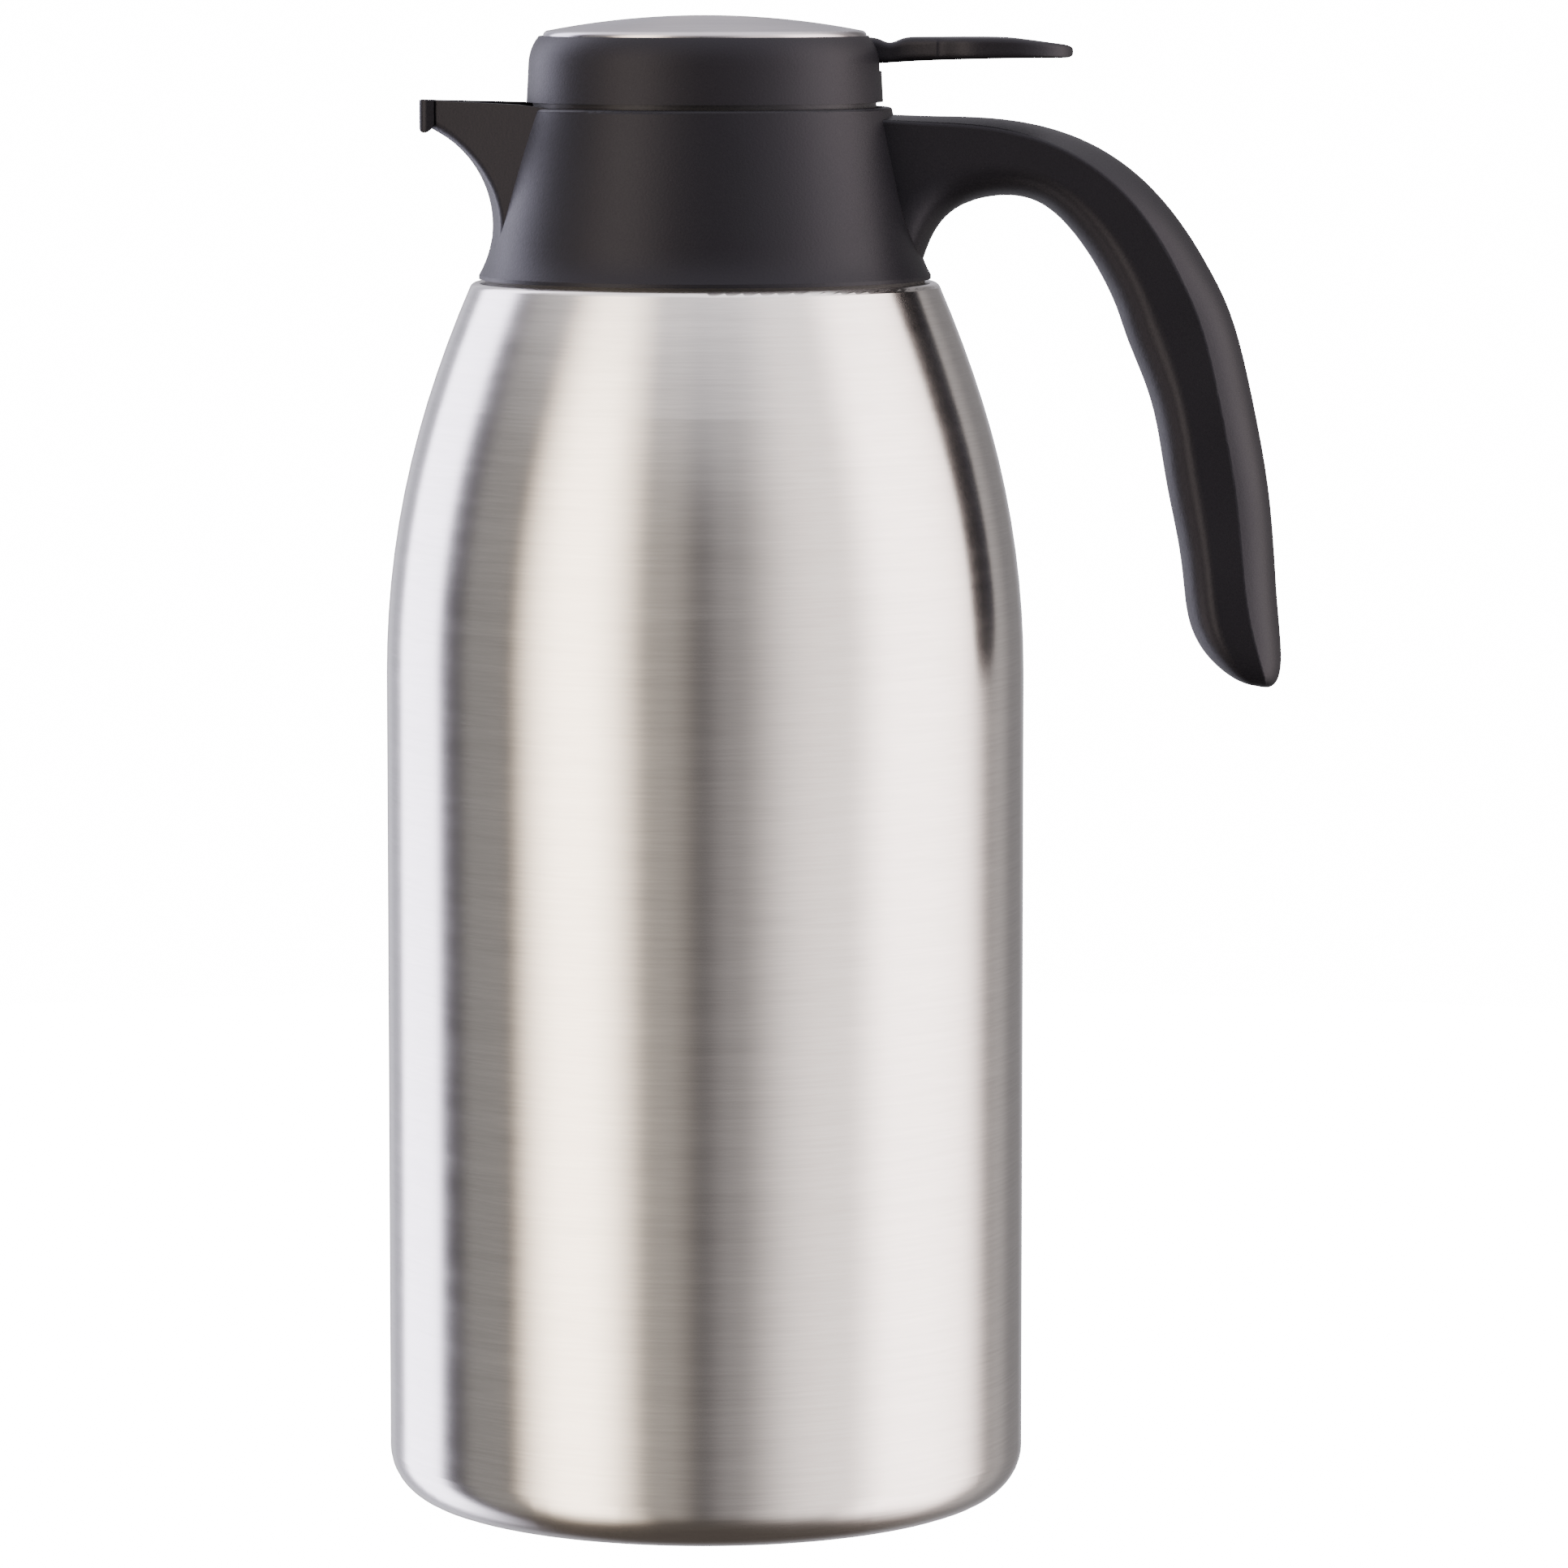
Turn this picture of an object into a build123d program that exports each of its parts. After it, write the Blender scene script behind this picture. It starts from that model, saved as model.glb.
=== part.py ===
from build123d import *

import os
from math import asin, cos, degrees, exp, radians, sin, sqrt

# Vacuum carafe, millimetres. +Z is up and Z = 0 is the face that it stands on.
# The axis of the body is Z, the spout points to -X and the handle to +X.

# Clearances between pieces
RUNNING_GAP = 0.05
SOFT_GAP = 0.3
SLIP_GAP = 0.1

# How far a cutting shape runs past what it cuts
CUT_OVER = 1.0

# Steel body
BODY_R = 62.0
WALL = 0.8
VACUUM_GAP = 4.0
FOOT_BAND = 3.0
CORNER_R = 9.5
STRAIGHT_TOP = 161.5
SHOULDER_R = (175.0, 232.0)
SHOULDER_TURN = (17.5, 5.9)
SHOULDER_LIP_R = 1.6

# Steel neck and inner flask
NECK_R = 35.6
RIM_WIDTH = 4.0
NECK_HEIGHT = 16.5
NECK_BEND_R = 2.0
FLASK_FLOOR = 10.5
FLASK_CORNER_R = 14.0
FLASK_BAND_TURN = 10.0
FLASK_SHOULDER_TURN = 2.0
FLASK_NECK_FILLET = 3.0

# Bottom of the vacuum jacket
BASE_RIM = 3.4
BASE_RECESS = 1.9
BASE_COVER_LIFT = 0.32
VACUUM_FLOOR_LAP = 1.0
VACUUM_FLOOR = 5.0
SEAL_R = 3.0
SEAL_DEPTH = 1.2
GETTER_R = 6.0
GETTER_DEPTH = 1.6
GETTER_OFFSET = 22.0

# Collar with its spout
COLLAR_LEDGE_GAP = 0.65
COLLAR_HEIGHT = 33.1
COLLAR_WALL = 2.4
COLLAR_TOP_WALL = 2.7
COLLAR_TAPER = 10.8
COLLAR_BASE_BAND = 0.7
COLLAR_FLARE_R = 20.0
COLLAR_FLARE_TURN = 19.5
COLLAR_EDGE_R = 0.7
COLLAR_EDGE_BULGE = (-0.35, -0.25)
COLLAR_POCKET = 3.7
COLLAR_POCKET_DEPTH = 9.0
COLLAR_POCKET_KNEE = 6.3
COLLAR_POCKET_LEAN = 0.4
SLEEVE_WALL = 2.0
SLEEVE_RELIEF = 2.6
THROAT_STEP = 2.0

# Spout: straight flanks in plan over a hollow keel that is turned about the axis
SPOUT_KEEL_R = 20.5
SPOUT_KEEL_STEP = 0.36
SPOUT_KEEL_START = 10.4
SPOUT_KEEL_BLEND = 2.0
SPOUT_KEEL_ROUNDING = 2.4
SPOUT_ROOT_SHARE = 0.99
SPOUT_SPREAD = 29.5
SPOUT_TIP_HALF = 4.1
SPOUT_NOSE_DROP = 4.2
SPOUT_TIP_RISE = 1.4
SPOUT_RIM_KNEE = (35.5, 0.7)
SPOUT_FLOOR = 2.0
SPOUT_WALL = 2.0
SPOUT_MOUTH_DEPTH = 6.0
SPOUT_CHANNEL_ROUNDING = 1.6
SPOUT_LIP = 2.3
SPOUT_LIP_STEP = 0.6
SPOUT_LIP_DEPTH = 6.3
SPOUT_LIP_ROOT = 0.6
SPOUT_LIP_UNDERSIDE = (1.5, 1.6)
SPOUT_LIP_CORNER_R = 0.9
SPOUT_LIP_SIDE_R = 1.6
SPOUT_NOTCH_WIDTH = 5.0
SPOUT_NOTCH_ROUNDING = 2.0

# Handle, as stations measured from the collar's top edge: how far out and how
# far down the outer and the inner edge lie, half the width, and the crown
HANDLE_STATIONS = (
    ((-4.8, 1.5), (5.0, 31.6), 13.2, 0.8),
    ((0.2, 1.5), (6.7, 27.3), 13.2, 0.9),
    ((10.7, 1.8), (13.0, 19.2), 13.0, 1.1),
    ((21.7, 2.4), (21.2, 17.1), 12.7, 1.8),
    ((33.7, 5.1), (28.2, 18.4), 12.5, 3.0),
    ((44.7, 10.9), (34.0, 23.1), 12.2, 4.2),
    ((54.2, 20.2), (38.9, 29.8), 12.0, 5.3),
    ((61.7, 31.8), (43.6, 39.2), 11.8, 6.2),
    ((67.3, 45.4), (48.0, 50.8), 11.6, 6.8),
    ((71.1, 62.2), (52.0, 65.2), 11.4, 7.0),
    ((73.9, 81.2), (55.3, 82.7), 11.2, 7.0),
    ((75.2, 98.2), (57.4, 97.7), 10.9, 6.4),
    ((75.8, 106.2), (60.5, 105.4), 9.4, 5.0),
    ((75.3, 110.8), (65.2, 110.1), 7.0, 3.2),
    ((73.6, 112.7), (68.7, 111.9), 3.6, 1.5),
)
HANDLE_EDGE_R = 0.9
HANDLE_EDGE_SHARE = 0.9
HANDLE_PALM_SHARE = 0.5

# Threaded ring in the mouth and the gaskets, with what each is drawn in by inside and outside
GASKET = 1.0
RIM_GASKET_INSETS = (0.4, 0.2)
SHOULDER_GASKET_INSETS = (1.5, 1.2)
RING_FLANGE = 2.0
RING_WALL = 2.7
RING_DEPTH = 14.0
RING_SEAT_STEP = 2.3
RING_SEAT = 1.6

# Lid
LID_GAP = 1.0
LID_SET_IN = 1.8
LID_RING_HEIGHT = 12.7
LID_RING_WALL = 2.6
LID_RING_DRAFT = 3.0
LID_RING_SHOULDER_R = 9.0
LID_RING_SHOULDER_TURN = 36.0
LID_RING_TOP_FLANGE = 1.5
LID_RING_LEDGE = 2.1
LID_RING_LEDGE_LAP = 0.5
DISC_SET_IN = 3.2
DISC_EDGE_R = 1.1
DISC_CROWN = 2.9
DISC_WALL = 0.8
CARRIER = 1.2
CUP_WALL = 2.0
FLANGE_GAP = 0.4
FLANGE = 8.2
GASKET_GROOVE = (2.0, 2.4)
GASKET_ROUNDING = 0.7
GROOVE_LIFT = 2.0
DECK = 2.2
DECK_RISE = 0.8
THREAD_ROOM = 1.3
STOPPER_WALL = 2.2
PORT_WIDTH = 16.0
PORT_HEIGHT = 5.6
PORT_COUNT = 6
PORT_R = 1.5
PORT_LIFT = 0.4
PLATE = 2.0
PLATE_DROP = 0.6
PLATE_COLLAR = 4.0
PLATE_COLLAR_WALL = 1.4
SEAL_WIDTH = 2.0

# Valve
STEM_R = 2.0
STEM_LENGTH = 29.8
STEM_END = 1.2
STEM_CHAMFER = 0.4
BOSS_R = 5.5
BOSS_HEIGHT = 2.0
BOSS_DROP = 2.5
WIPER_R = 4.2
WIPER = 1.8
SEAT_HOLE_R = 8.5
SEAT_LIP = 1.5
SEAT_LIP_SLOPE = 1.0
SEAT_LIP_HEIGHT = 1.3
PLUG_R = 11.0
PLUG = 2.5
PLUG_EDGE = 1.0
PLUG_CONE = 1.0
PLUG_HUB_R = 4.0
PLUG_HUB = 3.0
PLUG_SEAL_R = 10.5
PLUG_SEAL = 1.4
PLUG_SEAL_ROUNDING = 0.35
HEAD_R = 5.2
HEAD = 2.0
SPRING_R = 4.0
SPRING_WIRE_R = 0.4
SPRING_TURNS = 3.5
SPRING_END_GAP = 0.05
SPRING_NUB = (0.5, 1.6)

# Thumb lever and its pin
PIVOT_SET_IN = 3.4
PIN_R = 1.5
PIN_LENGTH = 18.0
PIN_CHAMFER = 0.3
PIN_END_GAP = 0.2
HUB_R = 3.2
HUB_HEADROOM = 0.5
HUB_ROOM = 1.0
LEVER_OVERHANG = 36.7
LEVER_ROOT = 3.5
LEVER_NECK = 9.8
LEVER_NECK_THICKNESS = 5.2
LEVER_FLARE = (35.0, 17.0)
LEVER_DIP = (35.4, 2.2, 1.1)
LEVER_PAD = 22.0
LEVER_PAD_THICKNESS = 4.0
LEVER_PAD_END = 15.0
LEVER_PAD_ROUNDNESS = 2.4
LEVER_SLOPE = (12.6, 0.135)
LEVER_SLOPE_BEND = 2.0
LEVER_TIP_R = 1.2
LEVER_TIP_FACE = 0.03
LEVER_SECTIONS = 10
LEVER_DROP = 0.2
LEVER_ROUNDING = 0.3
LEVER_SIDE_GAP = 0.5
LEVER_FOOT_GAP = 1.0
EAR = 3.4

# Arm of the lever inside the lid, each pair as how far along and how far up
ARM_LAP = 0.5
ARM_HEEL = (1.0, 2.6)
ARM_BELLY = (2.6, 2.4)
ARM_KNEE = (7.0, 0.1)
ARM_TOE = 3.4
ARM_THROAT = (2.4, 4.0)
ARM_THROAT_RISE = 2.4
ARM_BACK = (8.5, 0.4)
ARM_BROW = (2.0, 0.3)
FORK_WIDTH = 9.2
FORK_SHORTFALL = 1.7
FORK_SLOT = 5.0
FORK_SLOT_END = 1.3
FORK_NUB_R = 1.2
FORK_NUB_SUNK = 0.24

# Screws that hold the lid together
SCREW_COUNT = 3
SCREW_SET_IN = 9.9
SCREW_R = 1.2
SCREW_HEAD_R = 2.6
SCREW_HEAD = 1.5
SCREW_HEAD_ROUNDING = 0.6
SCREW_SOCKET = (0.8, 0.75)
SCREW_LENGTH = 10.0
SCREW_BOSS_R = 3.2
SCREW_START = 60.0

# Radii that follow, each from the piece that carries it
FOOT_R = BODY_R - CORNER_R - FOOT_BAND
MOUTH_R = NECK_R - RIM_WIDTH
SLEEVE_R = NECK_R + SLIP_GAP
COLLAR_BASE_R = SLEEVE_R + SLEEVE_WALL + COLLAR_POCKET + COLLAR_WALL
THROAT_R = NECK_R - THROAT_STEP
COLLAR_TOP_R = THROAT_R + COLLAR_TOP_WALL
RING_BORE_R = MOUTH_R - RING_WALL
RING_SEAT_R = RING_BORE_R - RING_SEAT_STEP
STOPPER_R = RING_BORE_R - THREAD_ROOM
FLANGE_R = THROAT_R - FLANGE_GAP
LID_RING_R = COLLAR_TOP_R - LID_SET_IN
DISC_R = LID_RING_R - DISC_SET_IN
CUP_R = LID_RING_R - LID_RING_WALL
SCREW_CIRCLE_R = CUP_R - SCREW_SET_IN
PIVOT_X = CUP_R - PIVOT_SET_IN
LEVER_REACH = LID_RING_R + LEVER_OVERHANG
LEVER_LENGTH = LEVER_REACH - PIVOT_X - LEVER_ROOT

# Heights that follow from the sizes above
SHOULDER_ANGLE = sum(SHOULDER_TURN)
LEDGE_Z = (
    STRAIGHT_TOP
    + SHOULDER_R[0] * sin(radians(SHOULDER_TURN[0]))
    + SHOULDER_R[1] * (sin(radians(SHOULDER_ANGLE)) - sin(radians(SHOULDER_TURN[0])))
    + SHOULDER_LIP_R * (1 - sin(radians(SHOULDER_ANGLE)))
)
COLLAR_Z = LEDGE_Z + COLLAR_LEDGE_GAP
COLLAR_TOP = COLLAR_Z + COLLAR_HEIGHT
SPOUT_NOSE_Z = COLLAR_TOP - SPOUT_NOSE_DROP
SPOUT_TOP = COLLAR_TOP + SPOUT_TIP_RISE
RIM_Z = LEDGE_Z + NECK_HEIGHT
RING_FLANGE_Z = RIM_Z + GASKET
RING_TOP = RING_FLANGE_Z + RING_FLANGE
SEAT_Z = RING_TOP - RING_DEPTH - RING_FLANGE
LID_Z = COLLAR_TOP + LID_GAP
DISC_Z = LID_Z + LID_RING_HEIGHT
LEDGE_TOP = DISC_Z - LID_RING_LEDGE
CUP_TOP = LEDGE_TOP - LID_RING_TOP_FLANGE
DECK_Z = LID_Z - FLANGE
DECK_TOP = DECK_Z + DECK_RISE + DECK
PLATE_Z = SEAT_Z + RING_SEAT - PLATE_DROP
STOPPER_FOOT = PLATE_Z + PLATE
VALVE_SEAT_Z = STOPPER_FOOT + SEAT_LIP_HEIGHT
PLUG_Z = VALVE_SEAT_Z + PLUG_SEAL
BOSS_TOP = DECK_TOP + BOSS_HEIGHT
HEAD_Z = PLUG_Z + STEM_LENGTH - HEAD - STEM_END
PIVOT_Z = LEDGE_TOP - HUB_R - HUB_HEADROOM


def at(angle):
    """Unit vector at an angle in degrees, in the plane of a profile."""
    return Vector(cos(radians(angle)), sin(radians(angle)))


def turned(edges):
    """Solid of revolution about Z from edges with X as the radius and Y as the height."""
    return revolve(Plane.XZ * make_face(edges), Axis.Z)


def turned_outline(*points):
    """Solid of revolution about Z from the corners of its section."""
    return turned(Polyline(*points, close=True))


def washer(inner, outer, low, high):
    """Plain ring about Z."""
    return turned_outline((inner, low), (outer, low), (outer, high), (inner, high))


def disc(radius, low, high):
    """Plain disc about Z."""
    return Pos(0, 0, low) * Cylinder(
        radius, high - low, align=(Align.CENTER, Align.CENTER, Align.MIN)
    )


def block(low, high):
    """Box from its lowest to its highest corner."""
    size = Vector(*high) - Vector(*low)
    return Pos(*low) * Box(size.X, size.Y, size.Z, align=(Align.MIN, Align.MIN, Align.MIN))


def shoulder_edges(inset, upper_turn, lip_radius):
    """Straight side, the two shoulder arcs and the arc that turns to the neck, moved in by inset."""
    side = Line((BODY_R - inset, CORNER_R), (BODY_R - inset, STRAIGHT_TOP))
    lower = JernArc(side @ 1, (0, 1), SHOULDER_R[0] - inset, SHOULDER_TURN[0])
    upper = JernArc(lower @ 1, lower % 1, SHOULDER_R[1] - inset, upper_turn)
    rest = 90 - SHOULDER_TURN[0] - upper_turn
    lip = JernArc(upper @ 1, upper % 1, lip_radius, rest)
    return [side, lower, upper, lip]


def outer_shell():
    """Drawn steel jacket from the foot to the top of the neck, one wall thick."""
    walls = []
    for inset in (0, WALL):
        body = shoulder_edges(inset, SHOULDER_TURN[1], SHOULDER_LIP_R - inset / 2)
        corner = JernArc(body[0] @ 0, (0, -1), CORNER_R - inset, -90)
        foot = Line(corner @ 1, (FOOT_R, inset))
        neck_radius = NECK_R - inset
        bend = NECK_BEND_R + inset
        ledge = Line(body[-1] @ 1, (neck_radius + bend, (body[-1] @ 1).Y))
        turn = JernArc(ledge @ 1, (-1, 0), bend, -90)
        neck = Line(turn @ 1, (neck_radius, RIM_Z - WALL))
        walls.append([foot, corner, *body, ledge, turn, neck])
    outside, inside = walls
    ends = [
        Line(outside[0] @ 1, inside[0] @ 1),
        Line(outside[-1] @ 1, inside[-1] @ 1),
    ]
    return turned([*outside, *inside, *ends])


def flask_walls(inset):
    """Band, shoulder and neck of the inner flask's wall as profile edges, moved in by inset."""
    gap = WALL + VACUUM_GAP + inset
    neck_radius = MOUTH_R + WALL - inset
    bend = FLASK_NECK_FILLET + inset
    heading = radians(SHOULDER_TURN[0] + FLASK_SHOULDER_TURN)
    lower_r, upper_r = SHOULDER_R[0] - gap, SHOULDER_R[1] - gap
    start_r = (
        BODY_R
        - gap
        - lower_r * (1 - cos(radians(SHOULDER_TURN[0])))
        - upper_r * (cos(radians(SHOULDER_TURN[0])) - cos(heading))
    )
    top_r = (start_r - neck_radius - bend) / cos(heading)
    lower, upper, crown = shoulder_edges(gap, FLASK_SHOULDER_TURN, top_r)[1:]
    band = JernArc(lower @ 0, (0, 1), lower_r, FLASK_BAND_TURN)
    lower = JernArc(band @ 1, band % 1, lower_r, SHOULDER_TURN[0] - FLASK_BAND_TURN)
    turn = JernArc(crown @ 1, (-1, 0), bend, -90)
    neck = Line(turn @ 1, (neck_radius, RIM_Z - WALL if inset == 0 else RIM_Z))
    return [band, lower, upper, crown, turn, neck]


def inner_neck():
    """Neck of the inner flask with the rolled rim that is welded to the jacket's neck."""
    outside, inside = flask_walls(0)[-1], flask_walls(WALL)[-1]
    rim = Polyline(outside @ 1, (NECK_R, RIM_Z - WALL), (NECK_R, RIM_Z), inside @ 1)
    return turned([outside, inside, rim, Line(outside @ 0, inside @ 0)])


def flask_ring(first, last):
    """Turned piece of the inner flask's wall between two of its profile edges."""
    outside, inside = flask_walls(0)[first:last], flask_walls(WALL)[first:last]
    foot = Line(outside[0] @ 0, inside[0] @ 0)
    head = Line(outside[-1] @ 1, inside[-1] @ 1)
    return turned([*outside, *inside, foot, head])


def inner_shoulder():
    """Drawn shoulder of the inner flask, welded to its neck and its band."""
    return flask_ring(1, -1)


def inner_band():
    """Band that starts the inner flask's shoulder, welded between shoulder and tube."""
    return flask_ring(0, 1)


def inner_tube():
    """Straight tube of the inner flask, rolled and welded."""
    outer = BODY_R - WALL - VACUUM_GAP
    return washer(outer - WALL, outer, FLASK_FLOOR + FLASK_CORNER_R, STRAIGHT_TOP)


def inner_bottom():
    """Dished bottom cup that is welded to the inner flask's tube."""
    radius = BODY_R - WALL - VACUUM_GAP
    edges = []
    for inset in (0, WALL):
        corner = JernArc(
            (radius - inset, FLASK_FLOOR + FLASK_CORNER_R), (0, -1), FLASK_CORNER_R - inset, -90
        )
        edges += [corner, Line(corner @ 1, (0, (corner @ 1).Y))]
    edges.append(Line(edges[0] @ 0, edges[2] @ 0))
    edges.append(Line(edges[1] @ 1, edges[3] @ 1))
    return turned(edges)


def pressed_pan(radius, rim_low, rim_high, floor_low):
    """Pressed steel pan, a rim band round a flat floor."""
    floor_high = floor_low + WALL
    pan = turned_outline(
        (0, floor_low),
        (radius - WALL, floor_low),
        (radius - WALL, rim_low),
        (radius, rim_low),
        (radius, rim_high),
        (radius - WALL, rim_high),
        (radius - WALL, floor_high),
        (0, floor_high),
    )
    return pan


def vacuum_floor():
    """Bottom of the vacuum jacket, with the small hole that it is pumped out through."""
    radius = FOOT_R + VACUUM_FLOOR_LAP
    pan = turned_outline(
        (0, VACUUM_FLOOR),
        (radius - WALL, VACUUM_FLOOR),
        (radius - WALL, WALL),
        (radius, WALL),
        (radius, VACUUM_FLOOR + WALL),
        (0, VACUUM_FLOOR + WALL),
    )
    return pan - disc(SEAL_R / 2, VACUUM_FLOOR, VACUUM_FLOOR + WALL)


def vacuum_seal():
    """Bead of brazing metal that closes the pumping hole."""
    bead = disc(SEAL_R, VACUUM_FLOOR - SEAL_DEPTH, VACUUM_FLOOR)
    return bead + disc(SEAL_R / 2, VACUUM_FLOOR, VACUUM_FLOOR + WALL)


def getter():
    """Flat pellet on the vacuum side of the floor that keeps the vacuum clean."""
    low = VACUUM_FLOOR + WALL
    return Pos(GETTER_OFFSET, 0, 0) * disc(GETTER_R, low, low + GETTER_DEPTH)


def base_cover():
    """Pressed disc that closes the foot, recessed inside the standing rim."""
    return pressed_pan(FOOT_R, BASE_COVER_LIFT, BASE_RIM, BASE_RECESS)


def shoulder_gasket():
    """Soft ring in the thin joint between the collar and the steel shoulder."""
    inner, outer = SHOULDER_GASKET_INSETS
    return washer(SLEEVE_R + SLEEVE_WALL + inner, COLLAR_BASE_R - outer, LEDGE_Z, COLLAR_Z)


def rim_gasket():
    """Gasket between the flask's rim and the threaded ring."""
    inner, outer = RIM_GASKET_INSETS
    return washer(MOUTH_R + inner, NECK_R - outer, RIM_Z, RING_FLANGE_Z)


def collar_side():
    """Outer side of the collar from its base corner up to its top edge, as profile edges."""
    band = Line((COLLAR_BASE_R, COLLAR_Z), (COLLAR_BASE_R, COLLAR_Z + COLLAR_BASE_BAND))
    heading = at(90 + COLLAR_TAPER + COLLAR_FLARE_TURN)
    flare = JernArc(band @ 1, heading, COLLAR_FLARE_R, -COLLAR_FLARE_TURN)
    cone = Line(flare @ 1, (COLLAR_TOP_R, COLLAR_TOP - COLLAR_EDGE_R))
    return [band, flare, cone]


def collar_radius(height):
    """Radius of the collar's cone at a height."""
    cone = collar_side()[-1]
    low, high = cone @ 0, cone @ 1
    share = (height - low.Y) / (high.Y - low.Y)
    return low.X + (high.X - low.X) * share


def collar_blank():
    """Collar's outer form as a solid of revolution, with nothing cut from it."""
    side = collar_side()
    edge = ThreePointArc(
        side[-1] @ 1,
        Vector(COLLAR_TOP_R, COLLAR_TOP) + Vector(*COLLAR_EDGE_BULGE) * COLLAR_EDGE_R,
        (COLLAR_TOP_R - COLLAR_EDGE_R, COLLAR_TOP),
    )
    closing = Polyline(edge @ 1, (0, COLLAR_TOP), (0, COLLAR_Z), side[0] @ 0)
    return turned([*side, edge, closing])


def collar_bore():
    """Everything inside the collar: throat, the seat that clamps the ring, sleeve bore and core."""
    throat = disc(THROAT_R, RING_TOP, COLLAR_TOP)
    bore = disc(SLEEVE_R, COLLAR_Z, RING_TOP)
    pocket_r = SLEEVE_R + SLEEVE_WALL
    pocket_top = COLLAR_Z + COLLAR_POCKET_DEPTH
    waist_r = (collar_side()[-1] @ 0).X - COLLAR_WALL
    pocket = turned_outline(
        (SLEEVE_R, COLLAR_Z),
        (COLLAR_BASE_R - COLLAR_WALL, COLLAR_Z),
        (waist_r, COLLAR_Z + COLLAR_POCKET_KNEE),
        (waist_r - COLLAR_POCKET_LEAN, pocket_top),
        (pocket_r, pocket_top),
        (pocket_r, COLLAR_Z + SLEEVE_RELIEF),
        (SLEEVE_R, COLLAR_Z + SLEEVE_RELIEF),
    )
    return throat + bore + pocket


def keel(height, floor=0.0):
    """Reach of the spout's keel at a height, or of its channel with the floor's thickness."""
    foot = COLLAR_Z + SPOUT_KEEL_START
    centre = collar_radius(foot) + SPOUT_KEEL_STEP + SPOUT_KEEL_R
    return centre - sqrt((SPOUT_KEEL_R + floor) ** 2 - (height - foot) ** 2)


def keel_height(reach, floor=0.0):
    """Height at which the keel, or the channel's floor, comes to a reach."""
    foot = COLLAR_Z + SPOUT_KEEL_START
    centre = collar_radius(foot) + SPOUT_KEEL_STEP + SPOUT_KEEL_R
    return foot + sqrt((SPOUT_KEEL_R + floor) ** 2 - (centre - reach) ** 2)


def flank(reach, wall=0.0):
    """Point of the spout's straight flank at a reach from the axis, moved in by a wall."""
    root = SPOUT_ROOT_SHARE * COLLAR_TOP_R * at(180 - SPOUT_SPREAD)
    tip = Vector(-keel(SPOUT_NOSE_Z), SPOUT_TIP_HALF)
    slope = (root.Y - tip.Y) / (root.X - tip.X)
    offset = wall * sqrt(1 + slope**2)
    return Vector(-reach, root.Y - slope * (reach + root.X) - offset)


def spout_core(low, high, nose, wall, floor, rounding):
    """Wedge between the flanks that stands on the keel's turned curve, its lower edges rounded."""
    back = THROAT_R - SPOUT_MOUTH_DEPTH
    side = [flank(back, wall), flank(nose + CUT_OVER, wall)]
    other_side = [Vector(point.X, -point.Y) for point in reversed(side)]
    wedge = extrude(make_face(Polyline(*side, *other_side, close=True)), high - low)
    middle = (low + keel_height(nose, floor)) / 2
    curve = ThreePointArc(
        (keel(low, floor), low),
        (keel(middle, floor), middle),
        (nose, keel_height(nose, floor)),
    )
    closing = Polyline(curve @ 1, (nose, high), (back, high), (back, low), curve @ 0)
    core = Pos(0, 0, low) * wedge & turned([curve, closing])
    return fillet(core.edges().filter_by(GeomType.BSPLINE), rounding)


def spout_form():
    """Keeled outside of the spout with its drip lip, before the channel is cut."""
    low = COLLAR_Z + SPOUT_KEEL_START - SPOUT_KEEL_BLEND
    nose = keel(SPOUT_NOSE_Z)
    return spout_core(low, SPOUT_TOP, nose, 0, 0, SPOUT_KEEL_ROUNDING) + drip_lip(nose)


def drip_lip(nose):
    """Thick bead across the spout's nose, rounded at its sides and underneath."""
    tip, back = nose + SPOUT_LIP, nose - SPOUT_LIP_ROOT
    bottom = SPOUT_TOP - SPOUT_LIP_DEPTH
    half = flank(back).Y + SPOUT_LIP_STEP
    run, rise = SPOUT_LIP_UNDERSIDE
    side = make_face(
        Polyline(
            (-back, SPOUT_TOP),
            (-tip, SPOUT_TOP),
            (-tip, bottom),
            (-tip + run, bottom),
            (-back, bottom + rise),
            close=True,
        )
    )
    side = fillet(side.vertices().group_by(Axis.Y)[0], SPOUT_LIP_CORNER_R)
    corners = ((-back, -half), (-tip, -half), (-tip, half), (-back, half))
    plan = make_face(Polyline(*corners, close=True))
    plan = fillet(plan.vertices().group_by(Axis.X)[0], SPOUT_LIP_SIDE_R)
    return extrude(Plane.XZ * side, half, both=True) & extrude(plan, SPOUT_TOP)


def spout_channel():
    """Open channel from the throat to the drip lip, and the notch that it pours through."""
    top = SPOUT_TOP + CUT_OVER
    nose = keel(SPOUT_NOSE_Z) - SPOUT_WALL
    channel = spout_core(RING_TOP, top, nose, SPOUT_WALL, SPOUT_FLOOR, SPOUT_CHANNEL_ROUNDING)
    half = SPOUT_NOTCH_WIDTH / 2
    tip = nose + SPOUT_WALL + SPOUT_LIP + CUT_OVER
    notch = block((-tip, -half, SPOUT_NOSE_Z + SPOUT_FLOOR), (-nose + CUT_OVER, half, top))
    notch = fillet(notch.edges().filter_by(Axis.X).group_by(Axis.Z)[0], SPOUT_NOTCH_ROUNDING)
    return channel + notch


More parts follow.
